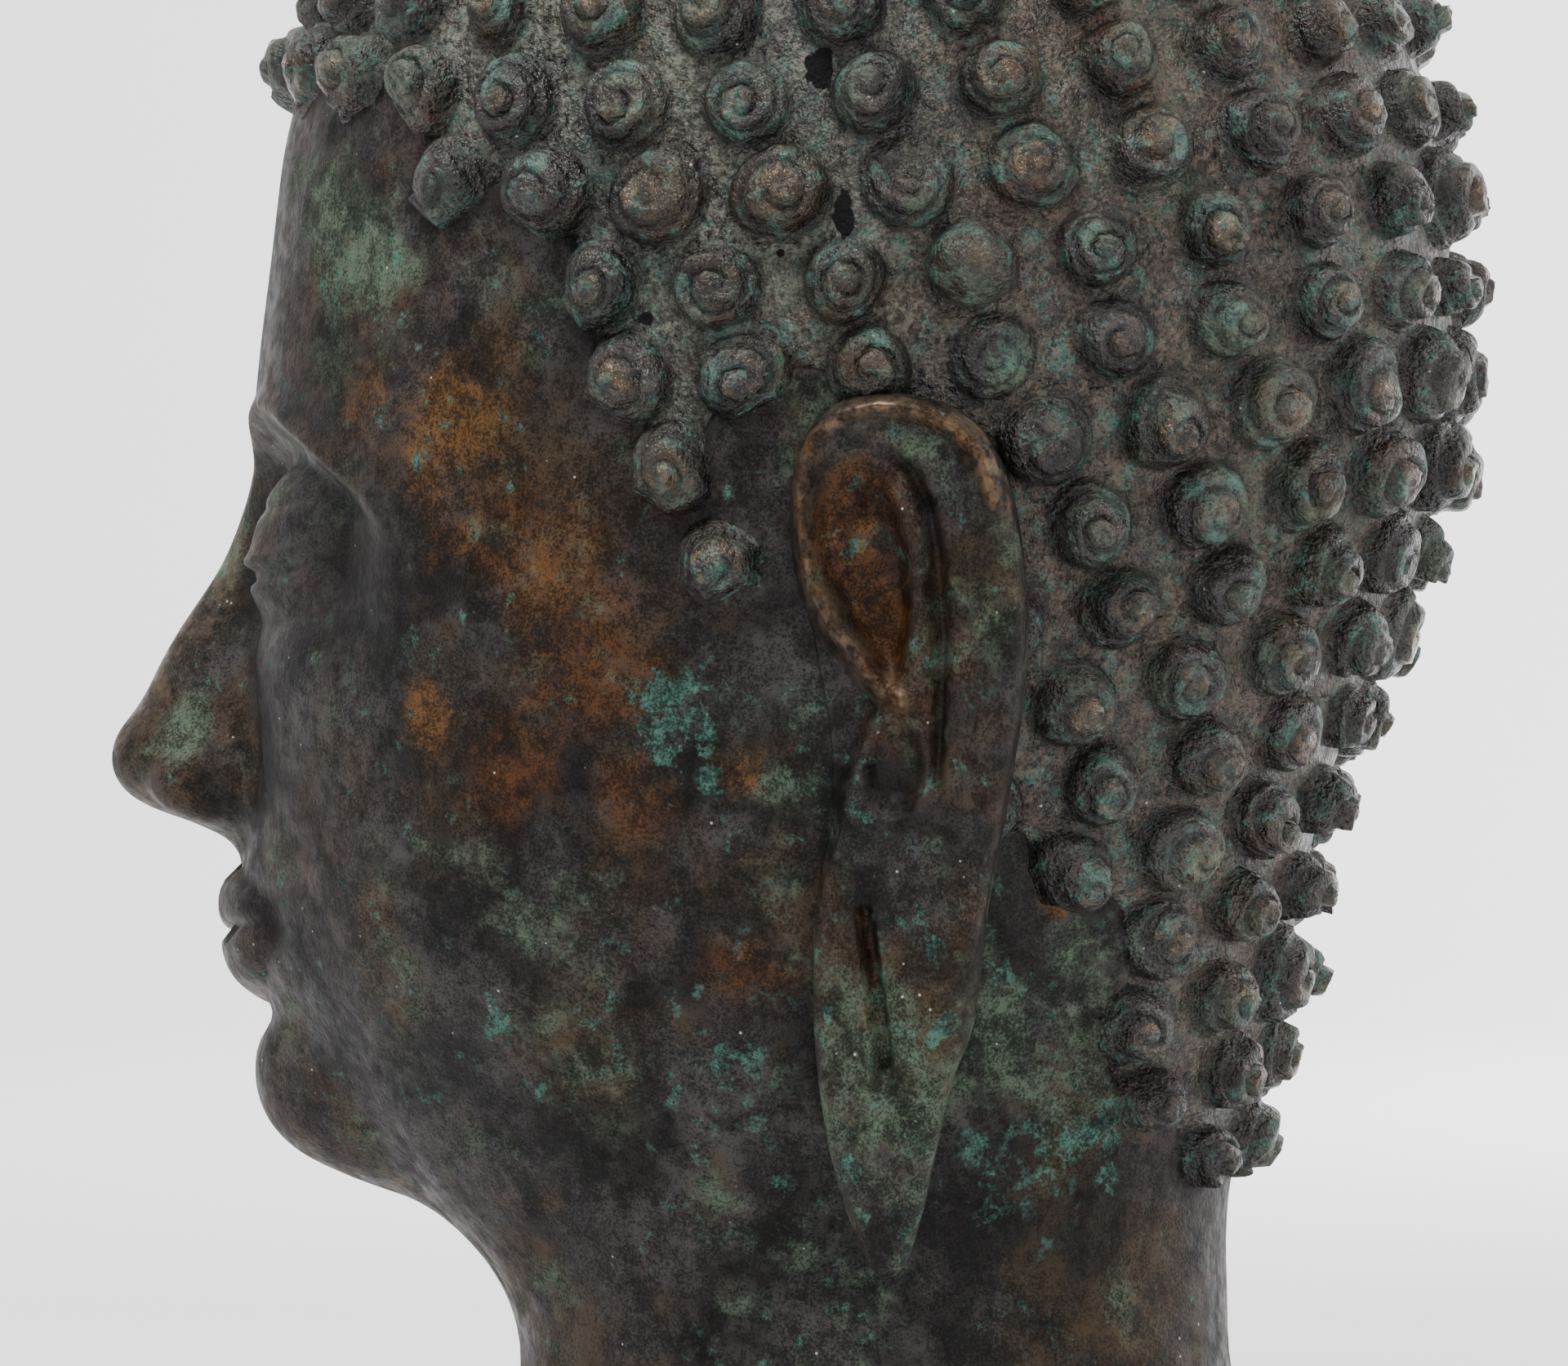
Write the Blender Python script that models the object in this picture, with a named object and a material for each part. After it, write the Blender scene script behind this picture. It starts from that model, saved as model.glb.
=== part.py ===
"""A cast bronze head with a cap of snail-shell curls, a low bump on the crown and two long ears.

It is one casting. The neck is cut off flat and the head stands on the cut. Units are metres, +Z is up
and the face looks towards -Y. The free forms are worked out in the carver's own measure, the finger:
the face is twelve fingers high from hairline to chin, heights count up from the chin, and depths back
from the line between the fronts of the ears.
"""

import math

import bmesh
import bpy
import numpy as np

# Driving dimensions, in metres
FACE_HEIGHT = 0.144
NECK_BELOW_CHIN = 0.042
NECK_WIDTH = 0.085
NECK_DEPTH = 0.094
CURL_PITCH = 0.0160
CURL_ROW_PITCH = 0.0117
CURL_HEIGHT = 0.0062
CURL_VALLEY = 0.0008
EAR_LENGTH = 0.113
EAR_THICKNESS = 0.0085
EAR_ROOT = 0.009
SLIT_WIDTH = 0.0024
SLIT_LENGTH = 0.024
SLIT_DEPTH = 0.005
SKIN_UNDER_HAIR = 0.003

FINGER = FACE_HEIGHT / 12
CUT_HEIGHT = -NECK_BELOW_CHIN / FINGER

# The canon of the face, in fingers above the chin and out from the middle line
MOUTH_LINE = 2.72
MOUTH_HALF_WIDTH = 1.80
NOSE_BASE = 4.0
EYE_LINE = 7.05
EYE_CENTRE = 2.08
EYE_HALF_WIDTH = 1.15
BROW = 8.0
HEAD_AXIS = 0.75
NECK_AXIS = 0.95
HEART = np.array([0.0, HEAD_AXIS, 7.6])
CROWN_FULLNESS = 2.55
OCCIPUT_FULLNESS = 2.2

# Level rings of the skin, in fingers above the chin, and the dome's rings, in degrees down from the top
SKIN_HEIGHTS = (
    12.0, 10.8, 9.6, 8.9, 8.5, 8.1, 7.7, 7.3, 6.9, 6.5, 6.1, 5.5, 4.95, 4.55, 4.2, 3.9, 3.45,
    3.15, 2.9, 2.72, 2.55, 2.25, 1.9, 1.55, 1.1, 0.6, 0.1, -0.4, -1.1, -2.1, CUT_HEIGHT,
)
DOME_FALLS = (14, 32, 50, 68)

# Lower edge of the hair, in fingers above the chin, by degrees round from the front
HAIRLINE_TURN = (0, 12, 30, 42, 53, 61, 68, 74, 80, 86, 119, 121, 127, 131, 140, 153, 167, 180)
HAIRLINE_HEIGHT = (
    11.5, 11.4, 11.4, 11.1, 10.5, 9.7, 8.9, 7.9, 6.9, 5.9, 4.6, 4.0, 3.0, 2.0, 1.1, 0.3, -0.1, -0.2,
)
EAR_TURN = (88, 118)

# Shape of a curl: how wide its shoulder is, how high that lies, and how deep the cap runs into the head
CURL_TOP_WIDTH = 0.66
CURL_SHOULDER = 0.70
CAP_INSIDE = 0.86
FEWEST_IN_ROW = 5
LAST_FALL = 165
SEED = 7

# The ear's outline as (depth, drop from its top) and its middle line, in shares of the ear's length
EAR_TOP = 8.6
EAR_OUTLINE = (
    (0.155, 0.006), (0.218, 0.000), (0.285, 0.023), (0.328, 0.080), (0.350, 0.190), (0.350, 0.310),
    (0.330, 0.440), (0.300, 0.590), (0.285, 0.705), (0.255, 0.790), (0.236, 0.870), (0.218, 0.945),
    (0.199, 0.990), (0.174, 1.000), (0.149, 0.957), (0.122, 0.871), (0.105, 0.750), (0.104, 0.628),
    (0.114, 0.500), (0.120, 0.400), (0.106, 0.290), (0.090, 0.180), (0.092, 0.090), (0.115, 0.036),
)
EAR_SPINE_DROP = (0.0, 0.13, 0.35, 0.60, 0.80, 0.93, 1.0)
EAR_SPINE_DEPTH = (0.21, 0.215, 0.235, 0.205, 0.185, 0.178, 0.175)

# How far the ear's face stands out at its top and tip, in fingers from the middle plane
EAR_OUT_TOP = 5.85
EAR_OUT_TIP = 4.75

# Middle of the slit in the lobe, in shares of the ear's length, and how far the lobe's root is cut short
SLIT_DEPTH_SHARE = 0.178
SLIT_DROP = 0.680
LOBE_ROOT_LIFT = 0.15

# Rings of the ear from its back edge to its hollow, as (width, lift, hollow) in shares of its outline
# and thickness, and the width of its root
EAR_ROOT_WIDTH = 0.74
EAR_RINGS = (
    (0.97, -0.85, 0.0), (1.0, -0.35, 0.0), (0.93, 0.0, 0.0), (0.80, 0.0, -0.05),
    (0.66, 0.0, -0.60), (0.45, 0.0, -0.45), (0.26, 0.0, -0.75), (0.10, 0.0, -0.80),
)

SURFACE_STEPS = 26
FARTHEST = 16.0
BRONZE_COLOUR = (0.075, 0.072, 0.060, 1.0)


def smooth(start, end, value):
    """A soft step from 0 at start to 1 at end."""
    share = np.clip((value - start) / (end - start), 0.0, 1.0)
    return share * share * (3.0 - 2.0 * share)


def bell(value, width):
    """A bell curve of height 1 and the given half width."""
    return np.exp(-((value / width) ** 2))


def arch(share):
    """A round arch over shares 0 to 1, and 0 outside them."""
    return np.sqrt(np.clip(4.0 * share * (1.0 - share), 0.0, 1.0))


def ellipsoid(points, centre, radii):
    """Distance to an ellipsoid, negative inside."""
    offset = points - np.array(centre)
    radii = np.array(radii)
    near = np.linalg.norm(offset / radii, axis=1)
    far = np.linalg.norm(offset / radii**2, axis=1)
    return near * (near - 1.0) / np.maximum(far, 1e-9)


def tapered_rod(points, start, end, start_radius, end_radius):
    """Distance to a round-ended rod that tapers from one end to the other."""
    start, end = np.array(start), np.array(end)
    along = end - start
    share = np.clip((points - start) @ along / (along @ along), 0.0, 1.0)
    radius = start_radius + (end_radius - start_radius) * share
    return np.linalg.norm(points - start - share[:, None] * along, axis=1) - radius


def blend(first, second, fillet):
    """The union of two distances with a fillet where they meet."""
    overlap = np.maximum(fillet - np.abs(first - second), 0.0) / fillet
    return np.minimum(first, second) - overlap * overlap * fillet * 0.25


def brow_height(side):
    """Height of the brow's edge above the chin, out from the middle line."""
    share = np.clip((side - 0.3) / 4.1, 0.0, 1.0)
    return BROW - 0.35 + np.sin(math.pi * share**0.8) - 0.35 * share**2


def eye_relief(side, height):
    """How far the brow's edge, the socket and the lowered lids stand forward."""
    below = brow_height(side) - height
    socket = -0.46 * smooth(-0.08, 0.55, below) * (1.0 - smooth(1.2, 2.9, below))
    socket *= smooth(0.35, 1.1, side) * (1.0 - smooth(3.3, 4.5, side))
    edge = 0.07 * bell(below + 0.05, 0.16) * smooth(0.5, 1.3, side) * (1.0 - smooth(3.6, 4.6, side))
    across = (side - EYE_CENTRE) / EYE_HALF_WIDTH
    up = (height - EYE_LINE) / 0.92
    fullness = np.clip(1.0 - 0.74 * across**2 - up**2, 0.0, 1.0)
    lids = 0.46 * fullness ** (0.75 + 0.75 * smooth(0.1, -0.9, up))
    return socket + edge + lids


def lip_relief(side, height):
    """How far the lips, their corners and the fold over the chin stand forward."""
    share = np.clip(side / MOUTH_HALF_WIDTH, 0.0, 1.0)
    taper = np.sqrt(1.0 - share**2)
    line = MOUTH_LINE + 0.17 * share**2
    upper = 0.25 * arch((height - line) / (0.58 * taper + 1e-3) * 0.72 + 0.14) * taper
    lower = 0.28 * arch((line - height) / (0.66 * taper + 1e-3) * 0.72 + 0.14) * taper
    lips = np.where(height > line, upper, lower)
    seam = -0.13 * bell(height - line, 0.09) * smooth(0.0, 0.35, 1.0 - share)
    corner = -0.16 * bell(side - MOUTH_HALF_WIDTH - 0.05, 0.26) * bell(height - line, 0.34)
    fold = -0.20 * bell(height - 1.84, 0.26) * bell(side, 1.15)
    return lips + seam + corner + fold


def face_relief(points):
    """How far the skin of the face stands forward of the plain mass behind it."""
    side, height = np.abs(points[:, 0]), points[:, 2]
    cheek = 0.12 * bell(side - 2.9, 1.3) * bell(height - 4.9, 1.3)
    return smooth(-1.5, -3.4, points[:, 1]) * (eye_relief(side, height) + lip_relief(side, height) + cheek)


def nose(points):
    """Distance to the nose: its bridge, tip, wings and the root under them."""
    half = np.column_stack([np.abs(points[:, 0]), points[:, 1], points[:, 2]])
    bridge = tapered_rod(half, (0, -5.55, 7.9), (0, -7.15, NOSE_BASE + 0.78), 0.36, 0.52)
    tip = ellipsoid(half, (0, -7.10, NOSE_BASE + 0.66), (0.68, 0.66, 0.50))
    wing = ellipsoid(half, (0.72, -6.45, NOSE_BASE + 0.42), (0.50, 0.74, 0.46))
    root = ellipsoid(half, (0, -5.95, NOSE_BASE + 1.0), (0.98, 1.15, 1.35))
    return blend(blend(blend(bridge, tip, 0.4), root, 0.6), wing, 0.28)


def neck(points):
    """Distance to the neck, which spreads a little towards the cut and ends inside the head."""
    half_width, half_depth = NECK_WIDTH / 2 / FINGER, NECK_DEPTH / 2 / FINGER
    spread = 0.35 * bell(points[:, 2] - CUT_HEIGHT + 0.7, 1.6)
    across = np.hypot(points[:, 0] / half_width, (points[:, 1] - NECK_AXIS) / half_depth)
    return -blend((1.0 - across) * half_width + spread, 5.0 - points[:, 2], 3.0)


def skull(points):
    """Distance to the skull, an ellipsoid that is fuller in the crown than below."""
    offset = points - np.array((0.0, HEAD_AXIS, 9.55))
    fullness = np.where(offset[:, 2] > 0, CROWN_FULLNESS, OCCIPUT_FULLNESS)
    level = np.hypot(offset[:, 0] / 5.35, offset[:, 1] / 6.6)
    near = (level**fullness + np.abs(offset[:, 2] / 6.3) ** fullness) ** (1 / fullness)
    return (near - 1.0) * np.linalg.norm(offset, axis=1) / np.maximum(near, 1e-9)


def plain_mass(points):
    """Distance to the skull, cheeks, jaw, chin and neck, with no features yet."""
    face = ellipsoid(points, (0, -1.0, 5.3), (4.70, 4.80, 5.4))
    jaw = ellipsoid(points, (0, -1.2, 2.95), (4.10, 4.3, 3.1))
    nape = ellipsoid(points, (0, 1.15, 4.3), (4.0, 4.4, 5.4))
    throat = ellipsoid(points, (0, -1.5, 1.0), (2.9, 3.1, 2.0))
    muzzle = ellipsoid(points, (0, -4.10, 2.95), (2.1, 2.1, 1.7))
    chin = ellipsoid(points, (0, -4.75, 1.05), (1.35, 1.35, 1.05))
    whole = blend(blend(skull(points), face, 2.4), jaw, 1.6)
    whole = blend(blend(whole, nape, 2.0), throat, 1.2)
    whole = blend(blend(whole, muzzle, 0.9), chin, 0.9)
    return blend(whole, neck(points), 1.3)


def crown_bump(points):
    """Distance to the round bump on the crown."""
    return ellipsoid(points, (0, 1.5, 15.45), (2.8, 2.95, 2.9))


def clay(points):
    """Distance to the bald head without ears, in fingers, negative inside."""
    pushed = points.copy()
    pushed[:, 1] += face_relief(points)
    return blend(blend(plain_mass(pushed), nose(points), 0.45), crown_bump(points), 1.1)


def find_surface(origins, directions):
    """Where rays from inside the head come out of it."""
    low = np.zeros(len(directions))
    high = np.full(len(directions), FARTHEST)
    for _ in range(SURFACE_STEPS):
        middle = (low + high) / 2
        inside = clay(origins + middle[:, None] * directions) < 0
        low = np.where(inside, middle, low)
        high = np.where(inside, high, middle)
    return origins + low[:, None] * directions


def outward(points):
    """Unit normals of the clay at points on it."""
    step = 0.03
    slopes = [clay(points + axis * step) - clay(points - axis * step) for axis in np.eye(3)]
    normals = np.column_stack(slopes)
    return normals / np.linalg.norm(normals, axis=1)[:, None]


def polar(turn, fall):
    """Unit directions at angles round from the front and down from straight up."""
    return np.column_stack([np.sin(fall) * np.sin(turn), -np.sin(fall) * np.cos(turn), np.cos(fall)])


def add_object(name, bm):
    """A scene object made from a finished bmesh, whose units are fingers above the chin."""
    bmesh.ops.triangulate(bm, faces=bm.faces)
    bmesh.ops.recalc_face_normals(bm, faces=bm.faces)
    bmesh.ops.translate(bm, verts=bm.verts, vec=(0, 0, -CUT_HEIGHT))
    bmesh.ops.scale(bm, verts=bm.verts, vec=(FINGER,) * 3)
    mesh = bpy.data.meshes.new(name)
    bm.to_mesh(mesh)
    bm.free()
    obj = bpy.data.objects.new(name, mesh)
    bpy.context.scene.collection.objects.link(obj)
    return obj


def loft(bm, rings):
    """Quads from each ring of points to the next, and a face over each end."""
    made = [[bm.verts.new(point) for point in ring] for ring in rings]
    for upper, lower in zip(made, made[1:]):
        for i, corner in enumerate(upper):
            following = (i + 1) % len(upper)
            bm.faces.new((corner, lower[i], lower[following], upper[following]))
    bm.faces.new(made[0])
    bm.faces.new(made[-1][::-1])


def ring_turns():
    """Angles of a ring's points round from the front, closest together over the face."""
    half = np.concatenate([np.linspace(0, 60, 15), np.linspace(72, 180, 7)])
    return np.radians(np.concatenate([half, -half[-2:0:-1]]))


def make_skin():
    """The bald head and neck: level rings up to the hair, and a dome a little under it."""
    turns = ring_turns()
    rings = []
    for fall in np.radians(DOME_FALLS):
        origins = np.tile((0.0, HEAD_AXIS, SKIN_HEIGHTS[0]), (len(turns), 1))
        ring = find_surface(origins, polar(turns, np.full(len(turns), fall)))
        rings.append(ring - outward(ring) * SKIN_UNDER_HAIR / FINGER)
    for height in SKIN_HEIGHTS:
        origins = np.tile((0.0, HEAD_AXIS, height), (len(turns), 1))
        rings.append(find_surface(origins, polar(turns, np.full(len(turns), math.pi / 2))))
    bm = bmesh.new()
    loft(bm, rings)
    return add_object("bronze_head", bm)


def curl_rows():
    """Rows of curl places from the crown down: for each, its points, their shares round it, its length."""
    turns = np.radians(np.arange(0, 360, 5.0))
    falls = np.radians(np.linspace(0.5, LAST_FALL, 260))
    grid_turn, grid_fall = np.meshgrid(turns, falls, indexing="ij")
    directions = polar(grid_turn.ravel(), grid_fall.ravel())
    points = find_surface(np.tile(HEART, (len(directions), 1)), directions)
    lines = points.reshape(len(turns), len(falls), 3)
    lengths = np.linalg.norm(np.diff(lines, axis=1), axis=2).cumsum(axis=1)
    lengths = np.column_stack([np.zeros(len(turns)), lengths])
    spacing = CURL_ROW_PITCH / FINGER
    rows = []
    for row in range(1, int(lengths[:, -1].min() / spacing)):
        ring = [[np.interp(row * spacing, reach, line[:, axis]) for axis in range(3)]
                for reach, line in zip(lengths, lines)]
        closed = np.array(ring + ring[:1])
        along = np.linalg.norm(np.diff(closed, axis=0), axis=1).cumsum()
        along = np.concatenate([[0.0], along])
        count = max(FEWEST_IN_ROW, round(along[-1] / (CURL_PITCH / FINGER)))
        shares = (np.arange(count) + 0.5 * (row % 2)) / count
        places = [np.interp(shares * along[-1], along, closed[:, axis]) for axis in range(3)]
        rows.append((np.column_stack(places), shares, along[-1]))
    return rows


def curl_places():
    """All curl places on the head, and the same places spread over a ball.

    The ball is to the head what a globe is to a sailor's chart: neighbours keep their angles, so the
    cells round the places can be read from the ball's convex hull.
    """
    rows = curl_rows()
    radii = np.array([length for _, _, length in rows]) / (2 * math.pi)
    travel = np.cumsum(CURL_ROW_PITCH / FINGER / radii)
    travel -= travel[np.argmax(radii)]
    centres = [find_surface(HEART[None, :], np.array([[0.0, 0.0, 1.0]]))]
    on_ball = [np.array([[0.0, 0.0, 1.0]])]
    for (places, shares, _), distance in zip(rows, travel):
        fall = 2 * math.atan(math.exp(distance))
        centres.append(places)
        on_ball.append(polar(2 * math.pi * shares, np.full(len(places), fall)))
    return np.vstack(centres), np.vstack(on_ball)


def has_hair(centres):
    """Which places carry a curl: those above the hairline and clear of the ears."""
    turn = np.degrees(np.arctan2(np.abs(centres[:, 0]), HEAD_AXIS - centres[:, 1]))
    above = centres[:, 2] > np.interp(turn, HAIRLINE_TURN, HAIRLINE_HEIGHT)
    by_ear = (turn > EAR_TURN[0]) & (turn < EAR_TURN[1]) & (centres[:, 2] < EAR_TOP + 0.1)
    return above & ~by_ear


def curl_cells():
    """The six-sided cell of each curl: its place and its corners in order round it."""
    centres, on_ball = curl_places()
    hairy = has_hair(centres)
    ball = bmesh.new()
    for place in on_ball:
        ball.verts.new(place)
    bmesh.ops.convex_hull(ball, input=ball.verts)
    ball.verts.index_update()
    cells = []
    for vert in ball.verts:
        if not hairy[vert.index]:
            continue
        east = vert.co.orthogonal().normalized()
        north = vert.co.cross(east)
        around = {}
        for face in vert.link_faces:
            middle = face.calc_center_median() - vert.co
            angle = math.atan2(middle.dot(north), middle.dot(east))
            around[angle] = tuple(sorted(v.index for v in face.verts))
        cells.append((vert.index, [around[angle] for angle in sorted(around)]))
    ball.free()
    return centres, cells


def make_hair():
    """The cap of curls: one closed shell in which every cell rises to a blunt point."""
    rng = np.random.default_rng(SEED)
    centres, cells = curl_cells()
    keys = sorted({key for _, corners in cells for key in corners})
    middles = np.array([centres[list(key)].mean(axis=0) for key in keys])
    away = middles - HEART
    valley = find_surface(np.tile(HEART, (len(keys), 1)), away / np.linalg.norm(away, axis=1)[:, None])
    valley += outward(valley) * CURL_VALLEY / FINGER
    bm = bmesh.new()
    upper = {key: bm.verts.new(point) for key, point in zip(keys, valley)}
    lower = {key: bm.verts.new(HEART + (point - HEART) * CAP_INSIDE) for key, point in zip(keys, valley)}
    edges = set()
    normals = outward(centres)
    for index, corners in cells:
        height = CURL_HEIGHT / FINGER * rng.uniform(0.9, 1.1)
        lift = normals[index] * height
        around = [upper[key] for key in corners]
        ring = [bm.verts.new(centres[index] + (np.array(v.co) - centres[index]) * CURL_TOP_WIDTH
                             + lift * CURL_SHOULDER) for v in around]
        tip = bm.verts.new(centres[index] + lift)
        for i, key in enumerate(corners):
            following = (i + 1) % len(corners)
            bm.faces.new((around[i], around[following], ring[following], ring[i]))
            bm.faces.new((ring[i], ring[following], tip))
            edges.add((key, corners[following]))
        bm.faces.new([lower[key] for key in reversed(corners)])
    for first, second in sorted(edge for edge in edges if edge[::-1] not in edges):
        bm.faces.new((lower[first], lower[second], upper[second], upper[first]))
    return add_object("hair_cap", bm)


def ear_face(drop):
    """How far out from the middle plane the ear's rim lies, by share of its length from the top."""
    return EAR_OUT_TOP + (EAR_OUT_TIP - EAR_OUT_TOP) * drop


def ear_ring(width):
    """The ear's outline drawn in towards its middle line: depths, heights and drops from the top."""
    length = EAR_LENGTH / FINGER
    depth, drop = np.array(EAR_OUTLINE).T
    spine = np.clip(drop, EAR_SPINE_DROP[1], EAR_SPINE_DROP[-2])
    middle = np.interp(spine, EAR_SPINE_DROP, EAR_SPINE_DEPTH)
    depth = middle + (depth - middle) * width
    drop = spine + (drop - spine) * width
    return depth * length, EAR_TOP - drop * length, drop


def make_ear(side):
    """One ear: a long plate with a thick rim, hollow above and plump in the lobe, rooted in the head."""
    y, z, drop = ear_ring(EAR_ROOT_WIDTH)
    z += LOBE_ROOT_LIFT * EAR_LENGTH / FINGER * smooth(0.6, 1.0, drop)
    origins = np.column_stack([np.zeros_like(y), y, z])
    x = find_surface(origins, np.tile((1.0, 0.0, 0.0), (len(y), 1)))[:, 0] - EAR_ROOT / FINGER
    rings = [np.column_stack([x * side, y, z])]
    for width, lift, hollow in EAR_RINGS:
        y, z, drop = ear_ring(width)
        plump = 1.0 - 0.85 * smooth(0.5, 0.66, drop)
        x = ear_face(drop) + EAR_THICKNESS / FINGER * (lift + hollow * plump)
        rings.append(np.column_stack([x * side, y, z]))
    bm = bmesh.new()
    loft(bm, rings)
    ear = add_object("ear_blank", bm)
    combine(ear, make_slit(side), "DIFFERENCE")
    return ear


def make_slit(side):
    """A cutter for the slit in the lobe: an upright prism with pointed ends."""
    length = EAR_LENGTH / FINGER
    depth, height = SLIT_DEPTH_SHARE * length, EAR_TOP - SLIT_DROP * length
    half_width, half_length = SLIT_WIDTH / 2 / FINGER, SLIT_LENGTH / 2 / FINGER
    shape = [(0, 1), (1, 0.6), (1, -0.6), (0, -1), (-1, -0.6), (-1, 0.6)]
    face = ear_face(SLIT_DROP)
    bm = bmesh.new()
    loft(bm, [
        [(x * side, depth + half_width * a, height + half_length * b) for a, b in shape]
        for x in (face + 1.0, face - SLIT_DEPTH / FINGER)
    ])
    return add_object("slit_cutter", bm)


def combine(target, other, operation):
    """Add one solid to another or cut it out, and drop the tool."""
    step = target.modifiers.new("combine", "BOOLEAN")
    step.operation = operation
    step.solver = "EXACT"
    step.object = other
    evaluated = target.evaluated_get(bpy.context.evaluated_depsgraph_get())
    mesh = bpy.data.meshes.new_from_object(evaluated)
    target.modifiers.clear()
    target.data = mesh
    bpy.data.objects.remove(other)


def centre_depth(obj):
    """Slide the mesh along Y until its box is centred on the origin."""
    depths = [vert.co.y for vert in obj.data.vertices]
    shift = -(min(depths) + max(depths)) / 2
    for vert in obj.data.vertices:
        vert.co.y += shift


def bronze():
    """Old bronze, nearly black, with a dull green bloom."""
    material = bpy.data.materials.new("old_bronze")
    material.use_nodes = True
    shader = material.node_tree.nodes["Principled BSDF"]
    shader.inputs["Base Color"].default_value = BRONZE_COLOUR
    shader.inputs["Metallic"].default_value = 0.6
    shader.inputs["Roughness"].default_value = 0.5
    return material


def main():
    """Build the head as one casting standing on its cut neck."""
    for old in list(bpy.data.objects):
        bpy.data.objects.remove(old)
    head = make_skin()
    combine(head, make_hair(), "UNION")
    for side in (-1, 1):
        combine(head, make_ear(side), "UNION")
    centre_depth(head)
    head.data.materials.clear()
    head.data.materials.append(bronze())


main()
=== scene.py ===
"""Dresses the cast bronze head: its skin, its cap of snail-shell curls, its two ears and its old patina.

The free forms are worked out in fingers, the carver's own measure, as the solid was: the face is
twelve fingers from hairline to chin, heights count up from the chin, and depths run back from the
line between the fronts of the ears.
"""

import logging
import math
from dataclasses import dataclass, field
from enum import Enum
from typing import Iterable, Mapping, Optional, Sequence

import bmesh
import bpy
import numpy as np
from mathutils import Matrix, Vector, noise
from mathutils.kdtree import KDTree


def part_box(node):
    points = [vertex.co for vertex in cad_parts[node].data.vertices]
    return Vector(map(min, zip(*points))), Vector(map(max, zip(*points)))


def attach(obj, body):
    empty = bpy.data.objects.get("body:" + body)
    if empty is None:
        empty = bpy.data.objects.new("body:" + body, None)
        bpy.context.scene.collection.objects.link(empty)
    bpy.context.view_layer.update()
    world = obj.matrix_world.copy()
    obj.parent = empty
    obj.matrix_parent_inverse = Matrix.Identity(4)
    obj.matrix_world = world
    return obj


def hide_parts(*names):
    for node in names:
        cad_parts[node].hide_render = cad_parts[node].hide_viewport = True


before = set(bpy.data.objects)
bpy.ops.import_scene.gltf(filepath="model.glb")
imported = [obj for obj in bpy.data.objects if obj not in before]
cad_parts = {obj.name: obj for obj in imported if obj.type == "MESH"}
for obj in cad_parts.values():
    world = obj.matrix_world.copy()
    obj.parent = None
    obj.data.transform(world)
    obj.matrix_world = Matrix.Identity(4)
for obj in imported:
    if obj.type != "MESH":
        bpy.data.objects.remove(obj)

LOG = logging.getLogger("bronze_head")

Array = np.ndarray
Values = float | np.ndarray
Piece = bpy.types.Object
Socket = bpy.types.NodeSocket
ShaderTree = bpy.types.NodeTree
Corner = tuple[int, ...]
Edge = tuple[Corner, Corner]
Colour = tuple[float, float, float]
Spot = tuple[float, float, float]
Flat = tuple[float, float]
Range = tuple[float, float]

BODY = "root"
NODE = "bronze_head"

FACE_HEIGHT = 0.144
FINGER = FACE_HEIGHT / 12
NECK_BELOW_CHIN = 0.042
CUT_HEIGHT = -NECK_BELOW_CHIN / FINGER
HEAD_AXIS = 0.75
HEART = np.array([0.0, HEAD_AXIS, 7.6])
TINY = 1e-9


def smooth(start: Values, end: Values, value: Values) -> Values:
    """Return a soft step from 0 at start to 1 at end."""
    share = np.clip((value - start) / (end - start), 0.0, 1.0)
    return share * share * (3.0 - 2.0 * share)


def bell(value: Values, width: float) -> Values:
    """Return a bell curve of height 1 and the given half width."""
    return np.exp(-((value / width) ** 2))


def arch(share: Array) -> Array:
    """Return a round arch over shares 0 to 1, and 0 outside them."""
    return np.sqrt(np.clip(4.0 * share * (1.0 - share), 0.0, 1.0))


def unit(vectors: Array) -> Array:
    """Return vectors scaled to length one."""
    return vectors / np.maximum(np.linalg.norm(vectors, axis=-1, keepdims=True), TINY)


def polar(turn: Array, fall: Array) -> Array:
    """Return unit directions at angles round from the front and down from straight up."""
    return np.column_stack([np.sin(fall) * np.sin(turn), -np.sin(fall) * np.cos(turn), np.cos(fall)])


def turn_of(points: Array) -> Array:
    """Return how many degrees round from the front each point is, on either side."""
    return np.degrees(np.arctan2(np.abs(points[:, 0]), HEAD_AXIS - points[:, 1]))


def lumps(points: Array, size: float, seed: float = 0.0) -> Array:
    """Return soft random lumps between about -1 and 1.

    Args:
        points: Places in fingers.
        size: Width of a lump in fingers.
        seed: Shifts the pattern.

    Returns:
        One value for each point.
    """
    places = points / size + seed
    return np.array([noise.noise(Vector(place)) for place in places])


def lump_layers(points: Array, layers: Iterable[Spot]) -> Array:
    """Return lumps of several sizes over each other, each layer given as height, width and seed."""
    return sum(height * lumps(points, width, seed) for height, width, seed in layers)


def path_distance(places: Array, path: Sequence[Flat]) -> tuple[Array, Array]:
    """Measure flat places against an open path.

    Args:
        places: Flat places, two numbers each.
        path: Corners of the path.

    Returns:
        The distance to the path, and how far along it the nearest point is, from 0 to 1.
    """
    corners = np.array(path)
    best = np.full(len(places), np.inf)
    along = np.zeros(len(places))
    spans = len(corners) - 1
    for index, (start, end) in enumerate(zip(corners, corners[1:])):
        run = end - start
        share = np.clip((places - start) @ run / (run @ run), 0.0, 1.0)
        distance = np.linalg.norm(places - start - share[:, None] * run, axis=1)
        nearer = distance < best
        best = np.where(nearer, distance, best)
        along = np.where(nearer, (index + share) / spans, along)
    return best, along


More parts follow.
